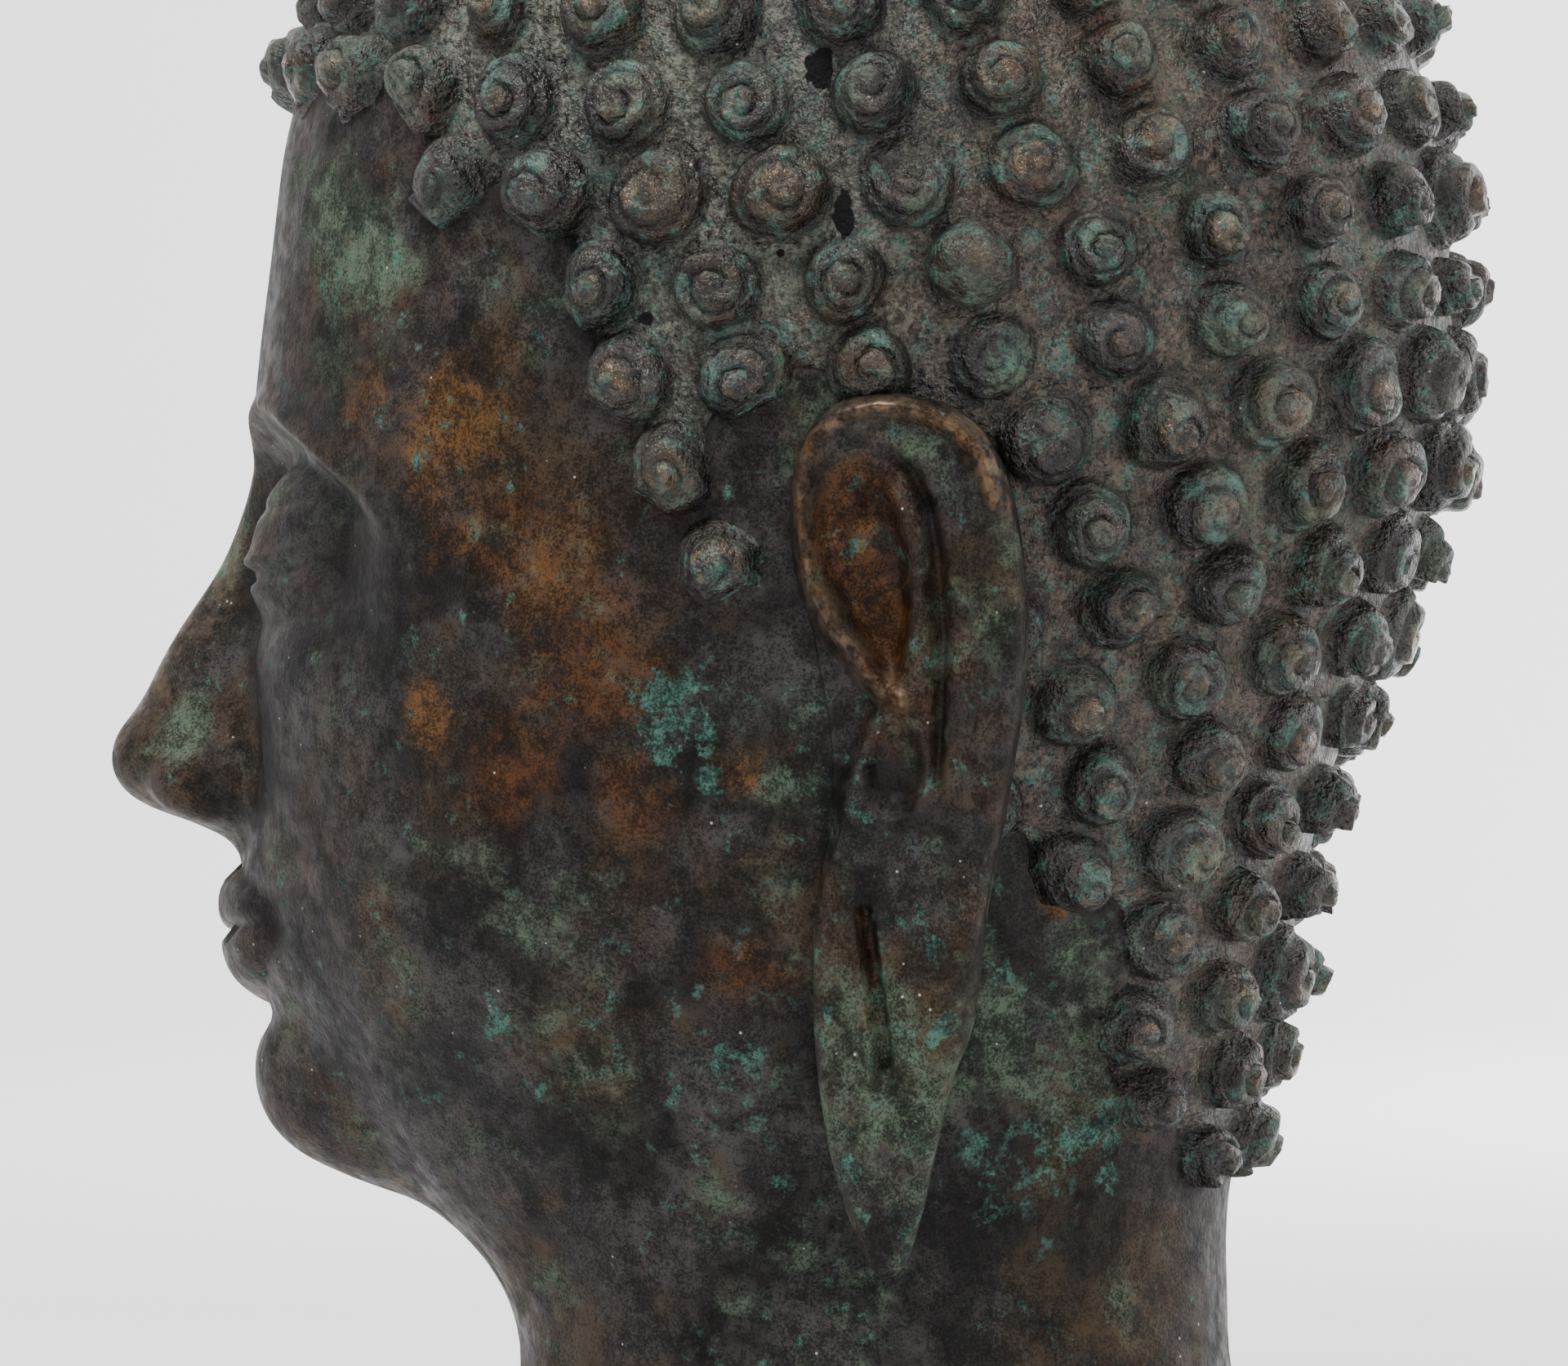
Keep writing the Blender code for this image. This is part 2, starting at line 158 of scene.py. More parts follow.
def round_curve(corners: Sequence[Flat], count: int) -> Array:
    """Draw a smooth closed curve through corners.

    Args:
        corners: Flat points that the curve passes through.
        count: How many points to return.

    Returns:
        Points spaced evenly along the curve.
    """
    points = np.array(corners)
    back, ahead, beyond = (np.roll(points, shift, axis=0) for shift in (1, -1, -2))
    steps = np.linspace(0, 1, 16, endpoint=False)[None, :, None]
    p0, p1, p2, p3 = (item[:, None, :] for item in (back, points, ahead, beyond))
    curve = 0.5 * (2 * p1 + (p2 - p0) * steps + (2 * p0 - 5 * p1 + 4 * p2 - p3) * steps**2
                   + (3 * p1 - p0 - 3 * p2 + p3) * steps**3)
    curve = curve.reshape(-1, 2)
    closed = np.vstack([curve, curve[:1]])
    length = np.concatenate([[0.0], np.linalg.norm(np.diff(closed, axis=0), axis=1).cumsum()])
    places = np.linspace(0, length[-1], count, endpoint=False)
    return np.column_stack([np.interp(places, length, closed[:, axis]) for axis in range(2)])


class Clay:
    """The bald head as a distance in fingers, negative inside. Every piece is shaped from it."""

    mouth_line = 2.72
    mouth_half_width = 1.80
    nose_base = 4.0
    eye_line = 7.05
    eye_centre = 2.08
    eye_half_width = 1.15
    brow = 8.0
    neck_axis = 0.95
    neck_half = (0.0425 / FINGER, 0.047 / FINGER)
    crown_fullness = 2.55
    occiput_fullness = 2.2
    skull_centre = (0.0, HEAD_AXIS, 9.55)
    skull_half = (5.35, 6.6, 6.3)
    bump_centre = (0.0, 1.5, 15.45)
    bump_half = (2.8, 2.95, 2.9)
    lower_masses = (
        ((0, -1.0, 5.3), (4.70, 4.80, 5.4), 2.4),
        ((0, -1.2, 2.95), (4.10, 4.3, 3.1), 1.6),
        ((0, 1.15, 4.3), (4.0, 4.4, 5.4), 2.0),
        ((0, -1.5, 1.0), (2.9, 3.1, 2.0), 1.2),
        ((0, -4.10, 2.95), (2.1, 2.1, 1.7), 0.9),
        ((0, -4.75, 1.05), (1.35, 1.35, 1.05), 0.9),
    )
    neck_fillet = 1.3
    nose_fillet = 0.45
    bump_fillet = 1.1

    @staticmethod
    def ellipsoid(points: Array, centre: Spot, radii: Spot) -> Array:
        """Return the distance to an ellipsoid."""
        offset = points - np.array(centre)
        near = np.linalg.norm(offset / radii, axis=1)
        far = np.linalg.norm(offset / np.array(radii) ** 2, axis=1)
        return near * (near - 1.0) / np.maximum(far, TINY)

    @staticmethod
    def tapered_rod(points: Array, start: Spot, end: Spot, radii: Range) -> Array:
        """Return the distance to a round-ended rod that tapers from start to end."""
        first, along = np.array(start), np.array(end) - np.array(start)
        share = np.clip((points - first) @ along / (along @ along), 0.0, 1.0)
        radius = radii[0] + (radii[1] - radii[0]) * share
        return np.linalg.norm(points - first - share[:, None] * along, axis=1) - radius

    @staticmethod
    def blend(first: Array, second: Array, fillet: float) -> Array:
        """Return the union of two distances with a fillet where they meet."""
        overlap = np.maximum(fillet - np.abs(first - second), 0.0) / fillet
        return np.minimum(first, second) - overlap * overlap * fillet * 0.25

    def brow_height(self, side: Array) -> Array:
        """Return the height of the brow's edge, out from the middle line."""
        share = np.clip((side - 0.3) / 4.1, 0.0, 1.0)
        return self.brow - 0.35 + np.sin(math.pi * share**0.8) - 0.35 * share**2

    def eye_relief(self, side: Array, height: Array) -> Array:
        """Return how far the brow's edge, the socket and the lowered lids stand forward."""
        below = self.brow_height(side) - height
        socket = -0.46 * smooth(-0.08, 0.55, below) * (1.0 - smooth(1.2, 2.9, below))
        socket *= smooth(0.35, 1.1, side) * (1.0 - smooth(3.3, 4.5, side))
        edge = 0.07 * bell(below + 0.05, 0.16) * smooth(0.5, 1.3, side) * (1.0 - smooth(3.6, 4.6, side))
        across = (side - self.eye_centre) / self.eye_half_width
        up = (height - self.eye_line) / 0.92
        fullness = np.clip(1.0 - 0.74 * across**2 - up**2, 0.0, 1.0)
        lids = 0.46 * fullness ** (0.75 + 0.75 * smooth(0.1, -0.9, up))
        return socket + edge + lids + self.lid_lines(across, height)

    def lid_lines(self, across: Array, height: Array) -> Array:
        """Return the lines cut into the lids: the narrow opening, the upper lid's edge and its fold."""
        along = np.clip((across + 1) / 2, 0.0, 1.0)
        upper = self.eye_line - 0.10 - 0.16 * np.sin(math.pi * along) + 0.10 * along
        inside = 1.0 - smooth(0.92, 1.0, np.abs(across))
        opening = 0.17 * arch(along)
        below = upper - height
        slit = -0.10 * smooth(0.0, 0.05, below) * (1.0 - smooth(opening, opening + 0.09, below))
        lip = 0.045 * bell(height - upper - 0.05, 0.08)
        fold = -0.05 * bell(height - upper - 0.62, 0.08) * arch(along)
        return (slit + lip) * inside + fold

    def lip_relief(self, side: Array, height: Array) -> Array:
        """Return how far the lips, their corners, the groove above and the fold below stand forward."""
        share = np.clip(side / self.mouth_half_width, 0.0, 1.0)
        taper = np.sqrt(1.0 - share**2)
        line = self.mouth_line + 0.17 * share**2 - 0.05 * bell(side, 0.35) + 0.04 * bell(side - 0.6, 0.35)
        full = (0.60 - 0.10 * bell(side, 0.22)) * taper + 1e-3
        upper = 0.25 * arch((height - line) / full * 0.72 + 0.14) * taper
        lower = 0.28 * arch((line - height) / (0.66 * taper + 1e-3) * 0.72 + 0.14) * taper
        above = smooth(-0.02, 0.02, height - line)
        lips = upper * above + lower * (1.0 - above)
        seam = -0.13 * bell(height - line, 0.07) * smooth(0.0, 0.35, 1.0 - share)
        corner = -0.16 * bell(side - self.mouth_half_width - 0.05, 0.26) * bell(height - line, 0.34)
        groove = -0.07 * bell(side, 0.17) * smooth(3.2, 3.45, height) * (1.0 - smooth(3.75, 4.0, height))
        fold = -0.20 * bell(height - 1.84, 0.26) * bell(side, 1.15)
        return lips + seam + corner + groove + fold

    def face_relief(self, points: Array) -> Array:
        """Return how far the face's skin stands forward of the plain mass behind it."""
        side, height = np.abs(points[:, 0]), points[:, 2]
        cheek = 0.12 * bell(side - 2.9, 1.3) * bell(height - 4.9, 1.3)
        relief = self.eye_relief(side, height) + self.lip_relief(side, height) + cheek
        return smooth(-1.5, -3.4, points[:, 1]) * relief

    def nose(self, points: Array) -> Array:
        """Return the distance to the nose: its bridge, tip, wings and root."""
        base = self.nose_base
        half = np.column_stack([np.abs(points[:, 0]), points[:, 1], points[:, 2]])
        bridge = self.tapered_rod(half, (0, -5.55, 7.9), (0, -7.15, base + 0.78), (0.36, 0.52))
        tip = self.ellipsoid(half, (0, -7.10, base + 0.66), (0.68, 0.66, 0.50))
        wing = self.ellipsoid(half, (0.72, -6.45, base + 0.42), (0.50, 0.74, 0.46))
        root = self.ellipsoid(half, (0, -5.95, base + 1.0), (0.98, 1.15, 1.35))
        return self.blend(self.blend(self.blend(bridge, tip, 0.4), root, 0.6), wing, 0.28)

    def neck(self, points: Array) -> Array:
        """Return the distance to the neck, which spreads towards the cut and ends inside the head."""
        half_width, half_depth = self.neck_half
        spread = 0.35 * bell(points[:, 2] - CUT_HEIGHT + 0.7, 1.6)
        across = np.hypot(points[:, 0] / half_width, (points[:, 1] - self.neck_axis) / half_depth)
        return -self.blend((1.0 - across) * half_width + spread, 5.0 - points[:, 2], 3.0)

    def skull(self, points: Array) -> Array:
        """Return the distance to the skull, an ellipsoid that is fuller in the crown than below."""
        offset = points - np.array(self.skull_centre)
        fullness = np.where(offset[:, 2] > 0, self.crown_fullness, self.occiput_fullness)
        across, along, up = (offset / np.array(self.skull_half)).T
        near = (np.hypot(across, along) ** fullness + np.abs(up) ** fullness) ** (1 / fullness)
        return (near - 1.0) * np.linalg.norm(offset, axis=1) / np.maximum(near, TINY)

    def plain_mass(self, points: Array) -> Array:
        """Return the distance to the skull, cheeks, jaw, chin and neck, with no features yet."""
        whole = self.skull(points)
        for centre, radii, fillet in self.lower_masses:
            whole = self.blend(whole, self.ellipsoid(points, centre, radii), fillet)
        return self.blend(whole, self.neck(points), self.neck_fillet)

    def distance(self, points: Array) -> Array:
        """Return the distance to the bald head, negative inside."""
        pushed = points.copy()
        pushed[:, 1] += self.face_relief(points)
        face = self.blend(self.plain_mass(pushed), self.nose(points), self.nose_fillet)
        return self.blend(face, self.ellipsoid(points, self.bump_centre, self.bump_half), self.bump_fillet)

    def surface(self, origins: Array, directions: Array, steps: int = 18, reach: float = 16.0) -> Array:
        """Find where rays from inside the head come out of it.

        Args:
            origins: Starts of the rays, one row each, or one place for all.
            directions: Unit directions.
            steps: How often the reach is halved.
            reach: Longest distance looked at, in fingers.

        Returns:
            The points on the surface.
        """
        origins = np.broadcast_to(origins, directions.shape)
        low = np.zeros(len(directions))
        high = np.full(len(directions), reach)
        for _ in range(steps):
            middle = (low + high) / 2
            inside = self.distance(origins + middle[:, None] * directions) < 0
            low = np.where(inside, middle, low)
            high = np.where(inside, high, middle)
        return origins + low[:, None] * directions

    def outward(self, points: Array) -> Array:
        """Return unit normals of the clay at points on it."""
        slopes = [self.distance(points + step) - self.distance(points - step) for step in 0.03 * np.eye(3)]
        return unit(np.column_stack(slopes))


CLAY = Clay()


@dataclass
class Placing:
    """Turns fingers into the frame's metres, with the box centred front to back as the solid's is."""

    low: Vector
    high: Vector
    shift: float = 0.0

    @classmethod
    def from_solid(cls) -> "Placing":
        """Line the nose's tip up with the front of the solid's box."""
        low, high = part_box(NODE)
        heights = CLAY.nose_base + np.linspace(0.2, 1.2, 40)
        starts = np.column_stack([np.zeros_like(heights), np.full_like(heights, HEAD_AXIS), heights])
        tip = CLAY.surface(starts, np.tile((0.0, -1.0, 0.0), (len(heights), 1)))[:, 1].min()
        return cls(Vector(low), Vector(high), low[1] - tip * FINGER)

    def metres(self, points: Array) -> Array:
        """Return places in the frame, kept inside the solid's box."""
        placed = points * FINGER + np.array([0.0, self.shift, -CUT_HEIGHT * FINGER])
        return np.clip(placed, np.array(self.low), np.array(self.high))


def deselect() -> None:
    """Leave nothing selected, so that an operator acts on its own piece alone."""
    bpy.ops.object.select_all(action="DESELECT")


def ball(name: str, segments: int, rings: int, halvings: int = 2) -> Piece:
    """Add a ball of radius one to be shaped as a piece.

    Args:
        name: Name of the piece.
        segments: Steps round it before its faces are halved.
        rings: Steps from pole to pole before that.
        halvings: How often each face is halved both ways.

    Returns:
        The new object, the only one selected.
    """
    deselect()
    bpy.ops.mesh.primitive_uv_sphere_add(segments=segments, ring_count=rings, radius=1.0)
    piece = bpy.context.object
    piece.name = name
    piece.data.name = name
    finer = piece.modifiers.new("finer", "SUBSURF")
    finer.subdivision_type = "SIMPLE"
    finer.levels = halvings
    finer.render_levels = halvings
    bpy.ops.object.modifier_apply(modifier=finer.name)
    return piece


def directions_of(piece: Piece) -> Array:
    """Return the directions from a ball's middle to its vertices."""
    return unit(vertices_of(piece))


def vertices_of(piece: Piece) -> Array:
    """Return a piece's vertices, one row each."""
    flat = np.empty(len(piece.data.vertices) * 3)
    piece.data.vertices.foreach_get("co", flat)
    return flat.reshape(-1, 3)


def finish_mesh(piece: Piece, points: Array) -> None:
    """Move a piece's vertices to their places, point its faces outwards and shade it smooth."""
    piece.data.vertices.foreach_set("co", points.ravel())
    piece.data.update()
    deselect()
    bpy.context.view_layer.objects.active = piece
    piece.select_set(True)
    bpy.ops.object.mode_set(mode="EDIT")
    bpy.ops.mesh.select_all(action="SELECT")
    bpy.ops.mesh.normals_make_consistent(inside=False)
    bpy.ops.object.mode_set(mode="OBJECT")
    bpy.ops.object.shade_smooth()


def store(piece: Piece, name: str, values: Array) -> None:
    """Keep one number for each vertex under a name that the material reads."""
    attribute = piece.data.attributes.new(name, "FLOAT", "POINT")
    attribute.data.foreach_set("value", np.ascontiguousarray(values, dtype=np.float32))


class Bloom(Enum):
    """The colours that lie over the dark metal, and the painted shade that darkens it."""

    GREEN = "green"
    TURQUOISE = "turquoise"
    OCHRE = "ochre"
    RUSSET = "russet"
    PAINTED_SHADE = "painted_shade"


@dataclass(frozen=True)
class Patch:
    """One cloud of patina: where it lies on the head in fingers, how wide it is and how strong."""

    place: Spot
    width: float
    strength: float = 1.0
    stretch: float = 1.0

    def weight(self, points: Array) -> Array:
        """Return the patch's strength at each place, the same on both sides of the head."""
        offset = np.column_stack([np.abs(points[:, 0]), points[:, 1], points[:, 2]]) - np.array(self.place)
        offset[:, 2] /= self.stretch
        return self.strength * bell(np.linalg.norm(offset, axis=1), self.width)


PATCHES: dict[Bloom, tuple[Patch, ...]] = {
    Bloom.GREEN: (
        Patch((3.4, -4.2, 10.3), 1.5, 1.0),
        Patch((3.9, -3.9, 9.6), 0.9, 0.7),
        Patch((4.9, 0.6, 5.0), 1.1, 0.7, 1.4),
        Patch((4.7, 0.7, 3.5), 0.8, 0.6),
        Patch((3.7, -3.8, 2.9), 1.3, 0.5),
        Patch((0.4, -6.5, 6.6), 1.1, 0.6, 1.8),
        Patch((0.8, -6.7, 4.9), 0.7, 0.8),
        Patch((3.5, 0.8, -1.4), 2.4, 0.62),
        Patch((3.4, 2.9, 1.9), 1.9, 0.85),
        Patch((4.4, -1.6, 2.0), 2.0, 0.45),
        Patch((4.9, -1.1, 6.3), 0.9, 0.55),
        Patch((4.6, -2.2, 3.2), 1.3, 0.48),
        Patch((3.6, 0.2, -0.9), 1.2, 0.6),
    ),
    Bloom.TURQUOISE: (
        Patch((3.2, 2.9, 0.4), 1.1, 0.66),
        Patch((2.8, 3.8, 0.7), 1.0, 0.68),
        Patch((5.0, -0.45, 5.15), 0.60, 0.80, 1.6),
        Patch((4.9, -0.1, 4.5), 0.35, 0.75),
        Patch((3.9, -2.3, 1.7), 1.0, 0.52),
        Patch((3.3, -3.3, 1.4), 0.9, 0.44),
        Patch((5.2, 1.25, 2.3), 0.45, 0.62, 1.7),
        Patch((4.9, 1.75, -0.45), 0.50, 0.72),
        Patch((5.3, 1.5, 4.1), 0.35, 0.66),
        Patch((4.3, 2.6, 3.3), 0.55, 0.62, 1.5),
        Patch((4.1, -0.3, 1.2), 1.1, 0.56),
        Patch((4.4, -1.2, 1.8), 1.0, 0.48),
        Patch((4.3, 0.9, -0.2), 1.5, 0.46),
        Patch((3.9, 2.6, 2.4), 1.3, 0.52),
        Patch((3.4, -4.3, 10.3), 1.5, 0.42),
        Patch((4.9, -1.25, 9.85), 0.30, 0.90),
        Patch((5.0, 0.7, 10.9), 0.35, 0.70),
        *(Patch((4.32 + 0.13 * step, -3.39 + 0.24 * step, 9.16 - 0.105 * step), 0.12, 0.95)
          for step in range(5)),
    ),
    Bloom.OCHRE: (
        Patch((4.6, -2.9, 8.2), 0.9, 0.88),
        Patch((4.7, -2.9, 7.5), 0.8, 0.85),
        Patch((3.8, -4.2, 8.6), 0.7, 0.6),
        Patch((5.0, -1.9, 6.8), 0.75, 0.9),
        Patch((4.3, -3.3, 5.2), 0.45, 1.0, 1.7),
        Patch((4.95, 0.2, 4.6), 0.5, 0.6),
        Patch((3.0, -2.2, -0.1), 0.5, 0.6),
        Patch((3.71, 3.46, 3.18), 0.22, 1.0),
        Patch((4.56, -1.58, 11.91), 0.10, 1.0),
        Patch((5.13, -0.79, 10.44), 0.10, 1.0),
    ),
    Bloom.RUSSET: (
        Patch((5.0, -1.4, 5.7), 1.2, 1.0),
        Patch((4.8, -1.9, 6.9), 1.2, 0.7),
        Patch((4.7, -2.2, 4.6), 1.0, 0.9),
        Patch((4.9, -1.0, 4.4), 0.9, 0.9),
        Patch((4.5, 0.2, 2.4), 0.7, 0.7),
        Patch((3.0, -5.0, 9.2), 1.2, 0.6),
        Patch((5.6, 1.7, 7.4), 1.3, 0.6),
        Patch((5.4, 1.8, 5.2), 0.9, 0.6),
    ),
    # Painted shade: darker patches on the lower forehead, beside the eye's outer corner, at the temple, on
    # the cheek by the nose and on the back of the neck.
    Bloom.PAINTED_SHADE: (
        Patch((3.2, -4.5, 8.9), 1.0, 0.90),
        Patch((3.6, -4.2, 6.8), 1.3, 0.80),
        Patch((4.6, -1.95, 8.5), 0.9, 0.55),
        Patch((2.6, -5.0, 4.0), 1.3, 0.50),
        Patch((2.9, 3.4, -0.6), 1.2, 0.60),
    ),
}


def store_blooms(piece: Piece, points: Array, base: Mapping[Bloom, Values]) -> None:
    """Work out each bloom's strength over a piece.

    Args:
        piece: The piece to store them on.
        points: Its vertices in fingers.
        base: The least strength of each bloom, one number or one for each vertex.
    """
    for bloom, patches in PATCHES.items():
        total = np.zeros(len(points)) + base.get(bloom, 0.0)
        for patch in patches:
            total = np.maximum(total, patch.weight(points))
        store(piece, bloom.value, np.clip(total, 0.0, 1.0))


@dataclass(frozen=True)
class Flaw:
    """A place where the casting came out wrong: degrees round from the front, and height in fingers."""

    turn: float
    height: float

    def place(self) -> Array:
        """Return where it lies on the clay."""
        turn = math.radians(self.turn)
        direction = np.array([[math.sin(turn), -math.cos(turn), 0.0]])
        return CLAY.surface(np.array([0.0, HEAD_AXIS, self.height]), direction)[0]


@dataclass(frozen=True)
class Gap(Flaw):
    """A ragged hole through the casting, in metres wide and long, painted as a near-black patch of shade on
    the unbroken sheet.
    """

    width: float
    length: float


GAPS: tuple[Gap, ...] = (
    Gap(99.0, 11.92, 0.0036, 0.0056), Gap(97.0, 10.0, 0.0024, 0.0066),
    Gap(74.6, 9.43, 0.0020, 0.0016), Gap(89.4, 10.54, 0.0010, 0.0010),
)
GAP_DEPTH = 0.008


@dataclass
class CurlLattice:
    """Rows of curl places wrapped round the head from the crown down, and the cell of each curl."""

    pitch: float = 0.0160 / FINGER
    row_pitch: float = 0.0117 / FINGER
    fewest_in_row: int = 5
    last_fall: float = 165.0
    hairline: tuple[Flat, ...] = (
        (0, 11.5), (12, 11.4), (30, 11.4), (42, 11.1), (53, 10.5), (61, 9.7), (68, 8.9), (74, 7.9),
        (80, 6.9), (86, 5.9), (108, 5.1), (110, 4.1), (119, 4.0), (121, 4.0), (127, 3.0), (131, 2.0),
        (140, 1.1), (153, 0.3), (167, -0.1), (180, -0.2),
    )
    ear_turn: Range = (88.0, 105.0)
    behind_ear: Range = (104.0, 118.0)
    ear_top: float = 8.6
    centres: Array = field(init=False)
    hairy: Array = field(init=False)
    cells: list[tuple[int, list[Corner]]] = field(init=False)

    def __post_init__(self) -> None:
        """Lay out the rows and find the cells."""
        on_ball = self._places()
        turn = turn_of(self.centres)
        above = self.centres[:, 2] > np.interp(turn, *zip(*self.hairline))
        by_ear = (turn > self.ear_turn[0]) & (turn < self.ear_turn[1])
        self.hairy = above & ~(by_ear & (self.centres[:, 2] < self.ear_top + 0.1))
        self.cells = self._cells(on_ball)

    def _rows(self) -> list[tuple[Array, Array, float]]:
        """Return each row's places, their shares round it, and its length."""
        turns = np.radians(np.arange(0, 360, 5.0))
        falls = np.radians(np.linspace(0.5, self.last_fall, 260))
        grid_turn, grid_fall = np.meshgrid(turns, falls, indexing="ij")
        lines = CLAY.surface(HEART, polar(grid_turn.ravel(), grid_fall.ravel()))
        lines = lines.reshape(len(turns), len(falls), 3)
        lengths = np.linalg.norm(np.diff(lines, axis=1), axis=2).cumsum(axis=1)
        lengths = np.column_stack([np.zeros(len(turns)), lengths])
        rows = []
        for row in range(1, int(lengths[:, -1].min() / self.row_pitch)):
            ring = [[np.interp(row * self.row_pitch, reach, line[:, axis]) for axis in range(3)]
                    for reach, line in zip(lengths, lines)]
            closed = np.array(ring + ring[:1])
            along = np.concatenate([[0.0], np.linalg.norm(np.diff(closed, axis=0), axis=1).cumsum()])
            count = max(self.fewest_in_row, round(along[-1] / self.pitch))
            shares = (np.arange(count) + 0.5 * (row % 2)) / count
            places = [np.interp(shares * along[-1], along, closed[:, axis]) for axis in range(3)]
            rows.append((np.column_stack(places), shares, along[-1]))
        return rows

    def _places(self) -> Array:
        """Fill in the curls' centres and return the same places spread over a ball, angles kept."""
        rows = self._rows()
        # On the ball each row falls by its pitch over its radius, so that the cells keep their shapes.
        radii = np.array([length for _, _, length in rows]) / (2 * math.pi)
        travel = np.cumsum(self.row_pitch / radii)
        travel -= travel[np.argmax(radii)]
        centres = [CLAY.surface(HEART, np.array([[0.0, 0.0, 1.0]]))]
        on_ball = [np.array([[0.0, 0.0, 1.0]])]
        for (places, shares, _), distance in zip(rows, travel):
            fall = np.full(len(places), 2 * math.atan(math.exp(distance)))
            centres.append(places)
            on_ball.append(polar(2 * math.pi * shares, fall))
        self.centres = np.vstack(centres)
        return np.vstack(on_ball)

    def _cells(self, on_ball: Array) -> list[tuple[int, list[Corner]]]:
        """Return each curl's index and its cell's corners, named by the places they lie between."""
        # The faces of the places' hull are the triangles between neighbours, and their middles the corners.
        hull = bmesh.new()
        for place in on_ball:
            hull.verts.new(place)
        bmesh.ops.convex_hull(hull, input=hull.verts)
        hull.verts.index_update()
        cells = []
        for vert in hull.verts:
            if not self.hairy[vert.index]:
                continue
            east = vert.co.orthogonal().normalized()
            north = vert.co.cross(east)
            around = {}
            for face in vert.link_faces:
                middle = face.calc_center_median() - vert.co
                angle = math.atan2(middle.dot(north), middle.dot(east))
                around[angle] = tuple(sorted(corner.index for corner in face.verts))
            cells.append((vert.index, [around[angle] for angle in sorted(around)]))
        hull.free()
        return cells

    def bald_tree(self) -> KDTree:
        """Return a search tree of the places that carry no curl."""
        bald = self.centres[~self.hairy]
        tree = KDTree(len(bald))
        for index, place in enumerate(bald):
            tree.insert(place, index)
        tree.balance()
        return tree


class CurlKind(Enum):
    """How a curl came out of the mould."""

    SNAIL = "snail"
    BLOB = "blob"
    FLAT = "flat"
    TORN = "torn"


@dataclass
class HeadSkin:
    """The bare metal of face, neck and scalp: one shell, closed by the flat cut of the neck."""

    lattice: CurlLattice
    segments: int = 75
    rings: int = 73
    front_crowding: float = 0.45
    row_spacing: tuple[Flat, ...] = ((0.0, 0.0), (0.12, 0.311), (0.87, 0.872), (1.0, 1.0))
    base_share: float = 0.04
    sunk_under_hair: float = 0.60
    unevenness: tuple[Spot, ...] = ((0.022, 1.6, 0.0), (0.011, 0.7, 9.0))
    hair_edge: Range = (1.0, 1.45)
    rise: float = 0.8

    def build(self, placing: Placing) -> Piece:
        """Shape the skin from a ball.

        Args:
            placing: Where the head stands.

        Returns:
            The finished piece.
        """
        piece = ball("head_skin", self.segments, self.rings)
        points, on_base = self._cast(directions_of(piece))
        bare = ~on_base
        normals = CLAY.outward(points[bare])
        depth = lump_layers(points[bare], self.unevenness)
        depth -= self.sunk_under_hair * self._under_hair(points[bare])
        points[bare] += normals * depth[:, None]
        points[:, 2] = np.maximum(points[:, 2], CUT_HEIGHT)
        finish_mesh(piece, placing.metres(points))
        store(piece, "rise", np.full(len(points), self.rise))
        store(piece, "wear", self._wear(points))
        store_blooms(piece, points, {Bloom.GREEN: 0.34, Bloom.TURQUOISE: 0.26, Bloom.RUSSET: 0.24})
        return piece

    def _cast(self, directions: Array) -> tuple[Array, Array]:
        """Return the ball's vertices moved on to the clay, and which of them lie on the base."""
        turn = np.arctan2(directions[:, 0], -directions[:, 1])
        down = np.arccos(np.clip(directions[:, 2], -1, 1)) / math.pi
        turn = turn - self.front_crowding * np.sin(turn)
        rim = self._rim(turn)
        offset = rim - HEART
        rim_fall = np.arctan2(np.hypot(offset[:, 0], offset[:, 1]), offset[:, 2])
        share = np.interp(down / (1 - self.base_share), *zip(*self.row_spacing))
        points = CLAY.surface(HEART, polar(turn, rim_fall * share))
        on_base = down > 1 - self.base_share - 1e-6
        # The last rows run from the neck's rim to the middle of its cut.
        inward = np.clip((down - 1 + self.base_share) / self.base_share, 0, 1)[:, None]
        middle = np.array([0.0, CLAY.neck_axis, CUT_HEIGHT])
        points = np.where(on_base[:, None], rim + (middle - rim) * inward, points)
        return points, on_base

    def _rim(self, turn: Array) -> Array:
        """Return the neck's rim at each angle round from the front."""
        angles = np.radians(np.linspace(-360, 360, 1441))
        level = polar(angles, np.full(len(angles), math.pi / 2))
        rim = CLAY.surface(np.array([0.0, HEAD_AXIS, CUT_HEIGHT]), level)
        return np.column_stack([np.interp(turn, angles, rim[:, axis]) for axis in range(3)])

    @staticmethod
    def _wear(points: Array) -> Array:
        """Return how worn the ridges are that hands have rubbed: the nose and the brows' edges."""
        side = np.abs(points[:, 0])
        nose = bell(side, 0.5) * smooth(-5.6, -6.6, points[:, 1])
        brow = bell(points[:, 2] - CLAY.brow_height(side), 0.22) * smooth(-3.2, -4.2, points[:, 1])
        return np.clip(0.6 * nose + 0.2 * brow, 0, 1)

    def _under_hair(self, points: Array) -> Array:
        """Return 1 well inside the hair and 0 on bare skin."""
        tree = self.lattice.bald_tree()
        reach = np.array([tree.find(place)[2] for place in points])
        return smooth(*self.hair_edge, reach)


